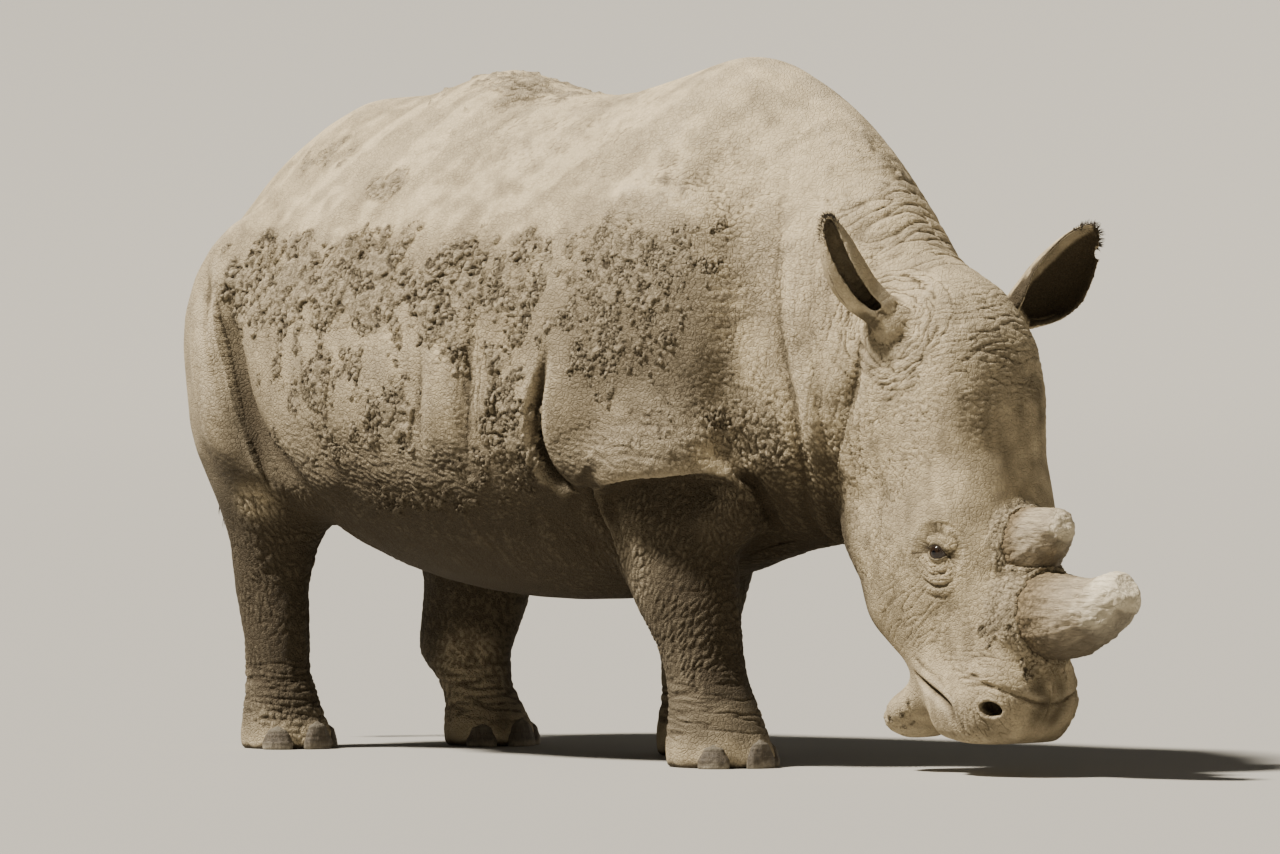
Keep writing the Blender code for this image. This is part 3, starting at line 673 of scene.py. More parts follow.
def thin_ears(body):
    """Takes back the swelling that kept the ears whole, and softens their roots."""
    for name in EARS:
        tree = tree_of(name)
        where = np.nonzero(inside_box(body.co, box_of(name), 0.01))[0]
        away = np.array([tree.find_nearest(Vector(p))[3] for p in body.co[where]])
        root = from_head(EAR_ROOT * (1, side_of(name), 1))
        reach = np.linalg.norm(body.co[where] - root, axis=1)
        leaf = fade(reach, 0.05, 0.10) * (1 - fade(away, 0.009, 0.013))
        body.move(where, -EAR_SWELL * leaf)
        body.add("leaf", leaf, where)
        seen = where[leaf > 0.3]
        # How closed in by the ear each point of the leaf lies; it later paints shade into the ears' cups.
        facing = np.zeros(len(seen))
        for tilt in ((0, 0, 0), (0.7, 0, 0), (-0.7, 0, 0), (0, 0.7, 0), (0, -0.7, 0)):
            for k, v in enumerate(seen):
                way = Vector(body.normal[v] + tilt)
                facing[k] += tree.ray_cast(Vector(body.co[v] + 0.006 * body.normal[v]), way, 0.16)[0] is not None
        body.cup[seen] = facing / 5
        # On the far ear the side turned towards (0.62, -0.72, 0.30) counts as cup too, so that it gets painted
        # shade.
        if side_of(name) > 0:
            body.add("cup", fade(body.normal[seen] @ np.array((0.62, -0.72, 0.30)), 0.48, 0.66), seen)
        else:
            h = in_head(body.co[where])
            pinch = 0.016 * fade(h[:, 0], 0.650, 0.700) * fade(reach, 0.07, 0.13)
            body.co[where] = from_head(h - pinch[:, None] * (1, 0, 0))
        around = blob(body.co, root, (0.13, 0.13, 0.13), 0.4) * (1 - body.leaf)
        body.co = relax_where(body.co, body.edges, 30, around)
        body.co = relax_where(body.co, body.edges, 10, around, False)
    body.fresh_normals()


# ---- wrinkles -------------------------------------------------------------------------------
RELIEF = 1.30             # all wrinkles are this much deeper than their own numbers
OTHER_SIDE = 7.3          # moves the pattern of the left side away from that of the right one


def press(body, where, depth, shape, mark=0.6):
    """Moves picked points by a shape from 0 (as it was) to -1 (depth deeper), and paints shade into the deepest of
    them.
    """
    keep = depth > 1e-5
    where, shape = where[keep], shape[keep]
    depth = RELIEF * depth[keep] * (1 - 0.92 * body.leaf[where])
    body.move(where, depth * shape)
    # Painted shade in the bottoms of the creases, as strong as mark says.
    body.add("crease", mark * np.minimum(depth / 0.003, 1.0) * shape ** 2, where)


def region(body, centre, radii, core, head):
    """The points in an ellipsoid, on both sides of the body: which, places on the right, places, strength."""
    p = in_head(body.co) if head else body.co
    q = on_right(p)
    where = np.nonzero((np.abs((q - centre) / radii) < 1).all(axis=1))[0]
    return where, q[where], p[where], blob(q[where], centre, radii, core)


def drawn_out(q, across, size, stretch):
    """Places measured in sizes along a direction, and in longer steps square to it."""
    u = q @ across
    return (q - u[:, None] * across) / (size * stretch) + (u / size)[:, None] * across


def wrinkle(body, centre, radii, across, wavelength, stretch, depth, seed, head=False, core=0.35, warp=0.5):
    """Wavy creases that run square to a direction across (x, z)."""
    across = unit((across[0], 0, across[1]))
    where, q, p, strength = region(body, centre, radii, core, head)
    coords = drawn_out(q, across, wavelength, stretch)
    coords += (p[:, 1:2] > 0) * OTHER_SIDE
    coords += warp * noise(p / (wavelength * 3.5), seed + 50)[:, None] * across
    press(body, where, depth * strength, pillow(noise(coords, seed), 0.28))


def rings_round(body, centre, near, far, wavelength, stretch, depth, seed, side, weight=None):
    """Creases that run round a place, between a near and a far distance from it."""
    p = in_head(body.co) - centre
    away = np.linalg.norm(p, axis=1)
    where = np.nonzero((away < far) & (away > 0.3 * near))[0]
    p, away = p[where], away[where]
    turn = p / away[:, None] * (0.5 * (near + far) / (wavelength * stretch))
    turn[:, 1] = away / wavelength + 0.35 * noise(p / 0.03, seed + 9) + side
    strength = fade(away, 0.6 * near, near) * (1 - fade(away, 0.65 * far, far))
    if weight is not None:
        strength = strength * weight(p)
    press(body, where, depth * strength, pillow(noise(turn, seed), 0.30))


def net(body, centre, radii, across, size, stretch, depth, seed, head=False, core=0.45, mark=0.25):
    """Small cells parted by creases, drawn out square to a direction across (x, z)."""
    across = unit((across[0], 0, across[1]))
    where, q, p, strength = region(body, centre, radii, core, head)
    keep = strength > 0.03
    where, q, p, strength = where[keep], q[keep], p[keep], strength[keep]
    coords = drawn_out(q + wander(p / (size * 4.5), seed + 70) * (0.9 * size), across, size, stretch)
    coords += (p[:, 1:2] > 0) * OTHER_SIDE
    first, second = cells(coords, seed)
    swell = np.sqrt(np.clip((second - first) / 0.40, 0, 1))
    vary = 0.55 + 0.45 * noise(p / 0.07, seed + 80)
    press(body, where, depth * strength * np.clip(vary, 0.2, 1.2), swell - 1, mark)


# Middle and radii on the right side, direction across, size, stretch, depth, seed and more.
BODY_LINES = (
    (wrinkle, (-1.32, -0.38, 0.625), (0.13, 0.10, 0.085), (1, 0.35), 0.022, 2.6, 0.0036, 21, {}),
    (wrinkle, (-0.55, -0.50, 0.720), (0.34, 0.25, 0.170), (0.25, 1), 0.018, 4.0, 0.0012, 23, {}),
    (wrinkle, (-0.95, -0.50, 0.740), (0.30, 0.25, 0.160), (0.6, 1), 0.018, 4.0, 0.0012, 24, {}),
    (wrinkle, (0.02, -0.47, 0.790), (0.30, 0.22, 0.100), (0.1, 1), 0.018, 6.0, 0.0022, 25, {}),
    (wrinkle, (-0.50, -0.20, 0.560), (0.75, 0.45, 0.120), (1, 0), 0.030, 4.0, 0.0025, 27, {}),
    (wrinkle, (-1.25, -0.40, 1.000), (0.22, 0.20, 0.400), (1, 0.25), 0.018, 6.0, 0.0012, 30, {}),
    (wrinkle, (-0.44, -0.52, 0.930), (0.055, 0.20, 0.280), (1, 0), 0.017, 9.0, 0.0030, 20, {}),
    (wrinkle, (0.46, -0.25, 0.950), (0.24, 0.25, 0.520), (1, 0.1), 0.026, 5.5, 0.0016, 31, {}),
    (wrinkle, (0.30, -0.20, 0.720), (0.26, 0.35, 0.260), (1, 0.4), 0.030, 4.0, 0.0024, 32, {}),
    (net, (-0.50, -0.45, 0.90), (1.05, 0.45, 0.58), (0.35, 1), 0.0130, 2.0, 0.0022, 100, {}),
    (net, (-0.85, -0.45, 0.72), (0.62, 0.35, 0.22), (0.35, 1), 0.0130, 2.2, 0.0030, 101, {}),
    (net, (-1.42, -0.30, 0.95), (0.26, 0.36, 0.42), (0.25, 1), 0.0140, 2.2, 0.0016, 102, {}),
    (net, (0.12, -0.35, 1.22), (0.28, 0.40, 0.52), (0.2, 1), 0.0130, 1.9, 0.0032, 103, {}),
    (net, (0.00, -0.45, 0.80), (0.34, 0.25, 0.15), (0.35, 1), 0.0140, 2.4, 0.0018, 104, {}),
    (net, (-0.40, 0.0, 1.50), (1.10, 0.60, 0.30), (1, 0), 0.0170, 1.7, 0.0022, 105, {"mark": 0.3}),
    (net, (0.02, -0.28, 0.48), (0.32, 0.36, 0.34), (1, -0.55), 0.0145, 2.6, 0.0066, 106, {"core": 0.70}),
    (net, (0.06, -0.28, 0.28), (0.28, 0.34, 0.12), (0.7, -0.70), 0.0120, 3.0, 0.0044, 95, {"core": 0.50}),
    (net, (-0.33, -0.26, 0.38), (0.18, 0.36, 0.36), (1, -0.40), 0.0135, 2.2, 0.0030, 107, {"core": 0.70}),
    (net, (-1.26, -0.28, 0.36), (0.34, 0.36, 0.40), (1, 0.35), 0.0140, 2.3, 0.0052, 108, {"core": 0.75}),
    (net, (0.42, -0.26, 1.02), (0.30, 0.34, 0.52), (1, 0.35), 0.0125, 1.8, 0.0032, 109, {}),
    (net, (0.26, -0.18, 0.74), (0.32, 0.44, 0.32), (1, 0.25), 0.0150, 1.8, 0.0044, 110, {}),
    (net, (0.46, 0.0, 1.42), (0.30, 0.36, 0.26), (0.60, -0.80), 0.0190, 2.2, 0.0026, 111, {}),
    (wrinkle, (0.50, 0.00, 1.330), (0.26, 0.30, 0.240), (0.70, -0.70), 0.036, 6.0, 0.0040, 33, {}),
)
HEAD_LINES = (
    (wrinkle, (0.62, 0.00, 1.240), (0.16, 0.24, 0.130), (0.60, -0.80), 0.028, 6.0, 0.0040, 34),
    (wrinkle, (0.80, 0.00, 1.020), (0.26, 0.26, 0.260), (0.20, -1.00), 0.022, 5.5, 0.0028, 35),
    (net, (0.82, -0.10, 0.980), (0.24, 0.26, 0.300), (0.20, -1.0), 0.0135, 2.4, 0.0036, 112),
    (net, (0.68, -0.17, 0.860), (0.24, 0.18, 0.300), (0.60, 0.80), 0.0130, 2.0, 0.0032, 113),
    (net, (0.60, -0.20, 0.620), (0.24, 0.20, 0.320), (0.90, 0.40), 0.0130, 2.2, 0.0034, 114),
    (net, (0.88, -0.12, 0.420), (0.24, 0.16, 0.260), (0.40, 1.00), 0.0115, 1.9, 0.0026, 115),
    (wrinkle, (0.74, -0.16, 0.380), (0.20, 0.16, 0.160), (-0.60, 1.00), 0.016, 6.0, 0.0020, 36),
    (wrinkle, (0.96, -0.12, 0.270), (0.14, 0.16, 0.070), (0.10, 1.00), 0.013, 6.0, 0.0024, 37),
    (wrinkle, (0.96, -0.12, 0.130), (0.13, 0.16, 0.080), (1.00, 0.15), 0.014, 4.0, 0.0026, 38),
    (net, (0.98, -0.08, 0.190), (0.18, 0.20, 0.150), (0.35, 1.00), 0.0120, 2.2, 0.0020, 116),
)


def below_and_behind(q):
    return 0.35 + 0.65 * fade(-q[:, 2] - 0.5 * q[:, 0], -0.01, 0.03)


def over_brow(q):
    return 0.25 + 0.75 * fade(-q[:, 2], -0.02, 0.02)


# Middle of rings, near and far distance, wavelength, stretch, depth, seed and how they fade.
RINGS = (
    (EAR_ROOT - (0, 0, 0.01), 0.085, 0.200, 0.019, 6.0, 0.0045, 41, None),
    (EYE_SPOT, 0.046, 0.100, 0.0105, 5.0, 0.0018, 42, below_and_behind),
    (EYE_SPOT, 0.036, 0.055, 0.0080, 5.0, 0.0012, 43, over_brow),
    (np.array((1.012, 0.13, 0.166)), 0.040, 0.075, 0.013, 4.0, 0.0012, 44, None),
)


def wrinkles(body):
    """Long creases first, then the net of small cells between them, then the head."""
    for x in (0.08, -0.33, -1.40, -1.12):
        wrinkle(body, (x, -0.25, 0.140), (0.24, 0.30, 0.110), (0.04, 1), 0.0165, 9.0, 0.0042, int(100 * x + 200),
                core=0.55, warp=0.25)
    for x in (0.03, -0.30, -1.20):
        wrinkle(body, (x, -0.25, 0.430), (0.24, 0.30, 0.090), (0.05, 1), 0.022, 6.0, 0.0018, int(100 * x + 200))
    for draw, *numbers, more in BODY_LINES:
        draw(body, *numbers, **more)
    for draw, *numbers in HEAD_LINES:
        draw(body, *numbers, head=True)
    for side in (-1, 1):
        for centre, near, far, wavelength, stretch, depth, seed, weight in RINGS:
            rings_round(body, centre * (1, side, 1), near, far, wavelength, stretch, depth, seed, side, weight)
    body.fresh_normals()


# ---- mud, dust and stains -------------------------------------------------------------------
# Caked mud: middle of each patch on the right side, its radii, how thick it lies, and how coarse it is.
MUD = [
    ((-1.20, -0.42, 1.18), (0.25, 0.30, 0.13), 0.92, 1.0), ((-0.88, -0.48, 1.18), (0.26, 0.30, 0.14), 1.00, 1.0),
    ((-0.96, -0.50, 0.93), (0.26, 0.25, 0.09), 0.56, 0.7), ((-0.56, -0.53, 1.17), (0.17, 0.25, 0.16), 0.88, 1.0),
    ((-0.72, -0.52, 0.86), (0.15, 0.20, 0.09), 0.74, 0.8), ((-0.38, -0.52, 1.13), (0.12, 0.25, 0.22), 0.60, 0.8),
    ((-0.34, -0.52, 0.82), (0.09, 0.22, 0.20), 0.72, 0.8), ((-0.02, -0.44, 1.20), (0.22, 0.30, 0.20), 0.74, 0.4),
    ((0.00, -0.46, 1.04), (0.17, 0.25, 0.12), 0.72, 0.5), ((-0.93, -0.40, 0.80), (0.24, 0.30, 0.08), 0.42, 0.5),
    ((0.12, -0.40, 0.84), (0.16, 0.20, 0.06), 0.50, 0.4), ((-0.60, -0.45, 0.66), (0.30, 0.25, 0.08), 0.46, 0.5),
    ((-0.74, -0.08, 1.66), (0.24, 0.12, 0.06), 0.52, 0.5), ((-0.90, -0.37, 1.425), (0.085, 0.12, 0.050), 0.95, 0.5),
    ((-1.25, -0.20, 1.50), (0.16, 0.10, 0.05), 0.50, 0.4), ((0.44, 0.02, 1.50), (0.10, 0.10, 0.08), 0.50, 0.3),
]
MUD_SPREAD, MUD_ON_LEFT = 1.35, 0.8
FACE_MUD = [((1.005, -0.10, 0.370), (0.08, 0.14, 0.07), 0.60), ((1.03, 0.0, 0.270), (0.09, 0.14, 0.07), 0.52),
            ((0.60, -0.15, 0.13), (0.14, 0.16, 0.08), 0.45)]
CLOD = 0.015              # size of a clod of mud


def mud_amount(body):
    """How thick the mud lies, and how coarse it is."""
    p, right, h = body.co, on_right(body.co), on_right(in_head(body.co))
    density, coarse = np.zeros(len(p)), np.zeros(len(p))

    def lay(here, part, size, share=1.0):
        coarse[here] = np.where(part > density[here], size, coarse[here])
        density[here] = np.maximum(density[here], part * share)

    for centre, radii, amount, size in MUD:
        reach = np.array(radii) * MUD_SPREAD
        here = np.nonzero((np.abs((right - centre) / reach) < 1).all(axis=1))[0]
        astray = 0.35 * wander(p[here] / 0.11, 60) * (0.10, 0.0, 0.10)
        lay(here, amount * blob(right[here] + astray, centre, reach, 0.15), size,
            np.where(p[here, 1] > 0, MUD_ON_LEFT, 1.0))
    for centre, radii, amount in FACE_MUD:
        here = np.nonzero((np.abs((h - centre) / radii) < 1).all(axis=1))[0]
        lay(here, amount * blob(h[here], centre, radii, 0.1), 0.35)
    return density, coarse


def caked(body):
    density, coarse = mud_amount(body)
    where = np.nonzero(density > 0.02)[0]
    q, density, size = body.co[where], density[where], coarse[where]
    broad = fractal(q / (0.065, 0.065, 0.13), 3, 61)
    chips = fractal(q / (0.022, 0.022, 0.045), 2, 63)
    mask = fade(density + 0.62 * broad + 0.42 * chips, 0.42, 0.49)
    big = cells(q / (CLOD, CLOD, 1.6 * CLOD) + 0.35 * noise(q / 0.03, 66)[:, None], 65)
    small = cells(q / (0.55 * CLOD, 0.55 * CLOD, 0.8 * CLOD) + 0.25 * noise(q / 0.015, 66)[:, None], 64)
    share = fade(size + 0.5 * noise(q / 0.07, 60), 0.55, 0.85)
    gap = np.where(share > 0.5, big[1] - big[0], small[1] - small[0])
    broken = fade(fractal(q / 0.060, 2, 59) + 0.5 * (1 - density), 0.02, 0.20)
    crack = (1 - fade(gap, 0.03, 0.30)) * (0.15 + 0.85 * broken)
    fine = np.where(near_side(q) | head_zone(q), 1.0, 0.5)      # the far side's faces are too big for cracks
    slab = 0.30 + 0.70 * fade(fractal(q / 0.042, 2, 67), -0.20, 0.20)
    grit = 0.5 * fractal(q / 0.011, 2, 69)
    body.move(where, mask * (0.30 + 0.70 * size) * (0.0100 * slab - 0.0070 * crack * fine + 0.0028 * grit))
    loose = fade(noise(q / 0.013, 62), 0.44, 0.60) * fade(density, 0.12, 0.45) * (1 - mask)
    body.move(where, 0.0060 * loose)
    body.add("mud", np.maximum(mask, loose), where)
    # Painted shade in the cracks between clods, and less of the creases' painted shade under the crust.
    body.crease[where] = np.maximum(body.crease[where] * (1 - 0.6 * mask), mask * crack * fine)
    for name in HORNS:
        collar(body, name)


def collar(body, name):
    """Rough crusted skin that climbs the foot of a horn, with painted shade between its grains."""
    tree = tree_of(name)
    where = np.nonzero(inside_box(body.co, box_of(name), 0.05))[0]
    nearest = [tree.find_nearest(Vector(c)) for c in body.co[where]]
    outside = np.array([(Vector(c) - hit[0]).dot(hit[1]) > 0 for c, hit in zip(body.co[where], nearest)])
    where, away = where[outside], np.array([hit[3] for hit in nearest])[outside]
    q = body.co[where]
    close = 1 - fade(away + 0.012 * noise(q / 0.03, 57), 0.004, 0.038)
    first, second = cells(q / 0.013, 58)
    grains = np.sqrt(np.clip((second - first) / 0.4, 0, 1))
    body.move(where, close * (0.0055 + 0.0050 * grains))
    body.add("mud", 0.8 * fade(close, 0.1, 0.5), where)
    # Painted shade between the crust's grains.
    body.add("crease", close * (1 - grains) ** 2, where)


# Dust that lies thicker than round it: middle, radii and amount. On the roll behind the shoulder crease (the first)
# and on the near hind knee (the last) it is also painted light, where they catch the sun.
DUST_AND_LIGHT_PATCHES = [((-0.290, -0.53, 0.93), (0.040, 0.20, 0.16), 0.90), ((-0.54, -0.55, 1.00), (0.07, 0.25, 0.17), 0.95),
         ((-0.72, -0.53, 1.04), (0.10, 0.25, 0.13), 0.90), ((-1.50, -0.30, 1.05), (0.12, 0.40, 0.40), 0.85),
         ((-0.04, -0.45, 0.88), (0.16, 0.25, 0.07), 0.45), ((-0.20, -0.55, 0.95), (0.06, 0.20, 0.16), 0.50),
         ((0.22, -0.34, 1.13), (0.10, 0.12, 0.16), 0.95), ((-1.05, -0.48, 1.03), (0.16, 0.30, 0.08), 0.60),
         ((-1.36, -0.40, 0.63), (0.10, 0.20, 0.08), 0.85)]
SCRATCH = [(0.300, -0.040, 1.612), (0.272, -0.133, 1.560), (0.268, -0.160, 1.520), (0.286, -0.188, 1.484),
           (0.311, -0.228, 1.403)]
# Middle, radii and core of places darkened as painted shade, where the light of the floor should find dark skin.
ARM_PIT = (0.03, -0.40, 0.66), (0.26, 0.22, 0.12), 0.5
CHEST = (0.30, -0.12, 0.62), (0.22, 0.34, 0.18), 0.2
# Stains and painted shade of the head and shoulder: middle, radii and amount. The muzzle's front under the front
# horn, its underside, the nostrils' surroundings and the forehead's middle are painted shade, with some dirt.
STAINS_AND_SHADE = [
    ((0.92, -0.10, 0.90), (0.13, 0.15, 0.20), 0.80), ((0.98, -0.02, 0.80), (0.10, 0.12, 0.20), 0.45),
    ((0.84, -0.18, 0.69), (0.05, 0.08, 0.06), 0.35), ((1.02, -0.05, 0.16), (0.09, 0.16, 0.06), 0.55),
    ((0.66, -0.20, 1.00), (0.10, 0.14, 0.12), 0.42), ((0.82, -0.08, 1.12), (0.16, 0.18, 0.11), 0.40),
    ((0.55, -0.24, 0.90), (0.06, 0.14, 0.24), 0.45), ((0.70, -0.12, 0.22), (0.10, 0.10, 0.08), 0.45),
    ((0.12, -0.42, 0.96), (0.25, 0.24, 0.24), 0.66), ((1.00, -0.13, 0.37), (0.07, 0.10, 0.07), 0.35),
    ((1.01, -0.13, 0.165), (0.07, 0.07, 0.06), 0.72), ((1.00, -0.08, 0.110), (0.20, 0.24, 0.11), 0.62),
    ((1.09, 0.00, 0.170), (0.16, 0.21, 0.16), 1.10), ((0.94, -0.16, 0.130), (0.15, 0.11, 0.10), 0.70),
    ((0.64, -0.12, 0.140), (0.09, 0.08, 0.07), 0.42), ((0.855, -0.165, 0.530), (0.034, 0.06, 0.028), 0.75),
    ((1.06, -0.02, 0.240), (0.07, 0.16, 0.08), 0.45), ((0.86, -0.17, 0.44), (0.10, 0.10, 0.05), 0.20),
]


def near_floor(p):
    return 1 - fade(p[:, 2] + 0.02 * noise(p / 0.05, 77), 0.02, 0.11)


def dust_and_light_over(body):
    """Pale dust: thick on the back with a ragged lower edge, thinner on neck and face, brushed on the flanks, also
    painted light on two swellings, and kept off the painted shade of armpit and chest.
    """
    p, right = body.co, on_right(body.co)
    edge = 1.295 + 0.100 * np.exp(-((p[:, 0] + 0.06) / 0.17) ** 2)
    edge = edge + np.where(p[:, 1] > 0, -0.03, 0.0)
    wave = 0.045 * noise(p / 0.17, 71) + 0.030 * noise(p / (0.05, 0.05, 0.08), 72) + 0.012 * noise(p / 0.016, 70)
    top = fade(p[:, 2] + wave, edge - 0.035, edge + 0.030)
    front = fade(p[:, 0] + 0.25 * noise(p / 0.13, 73), 0.24, 0.40)
    slanting = np.column_stack([(p[:, 0] - p[:, 2]) / 0.075, p[:, 1] / 0.5, (p[:, 0] + p[:, 2]) / 0.50])
    bands = 0.62 + 0.38 * fade(noise(slanting, 49) + 0.5 * noise(p / 0.05, 48), -0.35, 0.30)
    body.add("dust", np.maximum(top * bands, front * 0.80))
    dark = blob(right, (0.03, -0.45, 1.05), (0.36, 0.40, 0.34), 0.5)
    flank = fade(p[:, 2] + 0.08 * noise(p / 0.10, 79), 0.66, 0.95) * (0.40 + 0.25 * noise(p / 0.06, 58))
    body.add("dust", flank * (1 - dark))
    brushed = 0.25 + 0.75 * fade(noise(p / (0.10, 0.10, 0.013), 74) + 0.4 * noise(p / 0.03, 74), -0.35, 0.35)
    # Dust, and painted light on the roll behind the shoulder crease and the near hind knee.
    for centre, radii, amount in DUST_AND_LIGHT_PATCHES:
        body.add("dust", amount * brushed * blob(right, centre, radii, 0.0))
    body.add("dust", 0.6 * near_floor(p))
    # No dust in the armpit and on the chest, where they are darkened as painted shade.
    body.dust[:] *= 1 - 0.8 * np.clip(blob(right, *ARM_PIT) + blob(right, *CHEST), 0, 1)
    where, s, _, _ = beside(body, SCRATCH, 0.02)
    ragged = 1 + 0.5 * noise(p[where] / 0.01, 75)
    body.add("dust", 1.6 * np.exp(-(s / (0.0045 * ragged)) ** 2), where)


def dirt_and_shade_below(body):
    """Damp dirt and painted shade of the belly, the legs and the hollows between them, with painted light where the
    sun reaches the legs.
    """
    p, n, right = body.co, body.normal, on_right(body.co)
    z, low = p[:, 2], near_floor(p)
    face = fade(in_head(p)[:, 0], 0.50, 0.60)
    # Surfaces facing down: painted shade, with damp dirt.
    under = fade(-n[:, 2], -0.05, 0.60) * (1 - fade(z + 0.06 * noise(p / 0.12, 78), 0.72, 1.02))
    # The legs below the body: painted shade of the body over them, with dirt.
    leg = (1 - fade(z, 0.60, 0.80)) * (1 - 0.8 * low) * (0.72 + 0.20 * fade(z, 0.15, 0.40))
    # Darker between the legs.
    inner = fade(z, 0.05, 0.30) * (1 - fade(np.abs(p[:, 1]), 0.16, 0.27)) * (1 - fade(z, 0.60, 0.80))
    # Hollows behind the foreleg and before the thigh: painted shade.
    hollow_spots = np.maximum(blob(right, (-0.42, -0.50, 0.66), (0.24, 0.25, 0.20), 0.0),
                              blob(right, (-1.33, -0.42, 0.84), (0.13, 0.20, 0.26), 0.2))
    # The near hind leg: painted shade, less near the floor.
    rear_leg = blob(right, (-1.26, -0.28, 0.36), (0.34, 0.36, 0.42), 0.6) * (0.96 - 0.45 * low)
    # Surfaces facing forward, away from the sun: painted shade.
    forward = fade(z, 0.04, 0.20) * (1 - fade(z, 0.62, 0.80)) * fade(n[:, 0], -0.10, 0.50)
    worst = np.maximum.reduce([under, leg, inner, blob(right, *ARM_PIT), 0.80 * hollow_spots,
                               0.6 * blob(right, *CHEST), rear_leg, forward * (1 - face)])
    # Painted light on the foreleg's upper rear part, where the sun reaches under the body.
    lit = blob(right, (-0.08, -0.40, 0.50), (0.12, 0.22, 0.20), 0.2)
    worst = worst * (1 - 0.45 * lit * (1 - forward))
    # Painted light on the far hind leg's foot.
    worst = worst * (1 - 0.75 * blob(p, (-1.13, 0.16, 0.18), (0.14, 0.12, 0.16), 0.3))
    worst = worst * (1 - 0.85 * face)
    # Painted light on the near hind knee.
    worst = worst * (1 - 0.8 * blob(right, (-1.36, -0.40, 0.63), (0.10, 0.20, 0.08), 0.0))
    body.add("stain", worst)


def stained_and_shaded_head(body):
    """Dark patches of the face and the nape, and painted shade: on parts of the face, on its side turned away from
    the sun, in the ears' cups (the far one's dark inside too) and under both ears' feet.
    """
    p, n = body.co, body.normal
    h = on_right(in_head(p))
    face = fade(h[:, 0], 0.50, 0.60)
    shade = 0.75 + 0.5 * noise(p / 0.045, 56)
    # Stains, some of them painted shade.
    for centre, radii, amount in STAINS_AND_SHADE:
        body.add("stain", amount * shade * blob(h, centre, radii, 0.0))
    patchy = fade(noise(h / (0.05, 0.07, 0.09), 54) + 0.5 * noise(h / 0.025, 55), -0.10, 0.45)
    body.add("stain", 0.34 * patchy * face * (1 - fade(p[:, 2], 1.05, 1.25)))
    # Painted shade on the face's side turned away from the sun.
    away = face * fade(n[:, 0], 0.45, 0.95) * fade(p[:, 2], 0.45, 0.70) * (1 - 0.6 * fade(p[:, 2], 1.05, 1.25))
    body.add("stain", 0.50 * away * shade)
    # Painted shade in the ears' cups, on the far ear with its dark inside, less on the near ear's inner wall that
    # faces (0.84, -0.45, -0.30).
    pale_wall = fade(n @ np.array((0.84, -0.45, -0.30)), 0.78, 0.96)
    body.add("stain", np.where(p[:, 1] > 0, 1.0, 0.58 - 0.50 * pale_wall) * body.cup)
    # Painted shadow under the ears' feet.
    ear_foot = blob(h * (1, -1, 1), EAR_ROOT + (0.0, 0.075, 0.010), (0.07, 0.06, 0.05), 0.4)
    body.add("stain", 0.85 * ear_foot * fade(-n[:, 2], 0.2, 0.6))
    nape = blob(p, (0.45, 0.03, 1.46), (0.10, 0.10, 0.10), 0.2)
    body.add("stain", 0.75 * nape * fade(noise(p / 0.03, 76), -0.4, 0.2))


def lit_and_shaded_folds(body):
    """Painted light, in the dust's colour, on the roll above the arm fold, and painted shade in the valley before
    the thigh.
    """
    for mirror in (False, True):
        flip = -1 if mirror else 1
        where, s, share, _ = beside(body, np.array(shifted(ARM_FOLD, FORE * mirror)) * (1, flip, 1), 0.09)
        roll = fade(flip * s, 0.006, 0.022) * (1 - fade(flip * s, 0.030, 0.075))
        roll = roll * fade(share, 0.10, 0.35) * (1 - fade(share, 0.60, 0.95))
        # Painted light on the roll, with less painted shade.
        body.add("dust", 0.55 * roll, where)
        body.stain[where] *= 1 - 0.7 * roll
        where, s, share, _ = beside(body, np.array(shifted(THIGH, HIND * mirror)) * (1, flip, 1), 0.14)
        wide = 0.030 + 0.090 * share
        valley = fade(-flip * s, -0.004, 0.012) * (1 - fade(-flip * s, 0.7 * wide, 1.4 * wide))
        valley = valley * fade(share, 0.08, 0.38)
        # Painted shade in the valley.
        body.add("stain", 0.95 * valley, where)
        body.dust[where] *= 1 - 0.8 * valley


def hollows(body):
    """How far each point lies below (+) or above (-) the skin round it, in two sizes."""
    degree = np.maximum(np.bincount(body.edges.ravel(), minlength=len(body.co)), 1).astype(float)
    level = body.co.copy()
    for rounds, height, share in ((3, 0.0008, 0.40), (16, 0.0030, 0.70)):
        for _ in range(rounds):
            level = neighbour_mean(level, body.edges, degree)
        lower = ((level - body.co) * body.normal).sum(axis=1)
        body.hollow += (share * np.clip(lower / height, -1, 1)).astype(np.float32)


# ---- the skin laid flat ---------------------------------------------------------------------
BELOW, REAR_LEGS = 0.60, -0.70            # where the legs' charts begin
CHART_MARGIN = 0.006
LOOSE_PACKING = 1.12


def loops_of(mesh):
    """For every face corner its vertex and its face, and the corners of each face."""
    total = read(mesh.polygons, "loop_total", kind=np.int32)
    return read(mesh.loops, "vertex_index", kind=np.int32), np.repeat(np.arange(len(total)), total), total


def zones(body):
    """Which part of the body each point belongs to."""
    p = body.base
    zone = np.zeros(len(p), np.int32)
    zone[p[:, 2] < BELOW] = 1
    zone[(p[:, 2] < BELOW) & (p[:, 0] < REAR_LEGS)] = 2
    zone[(zone > 0) & (p[:, 1] > 0)] += 2
    zone[head_zone(p)] = 5
    zone[body.leaf > 0.5] = 6
    zone[(body.leaf > 0.5) & (p[:, 1] > 0)] = 7
    box = box_of("tail")
    zone[inside_box(p, box, 0.006) & (p[:, 0] < box[1][0] - 0.03)] = 8
    return zone


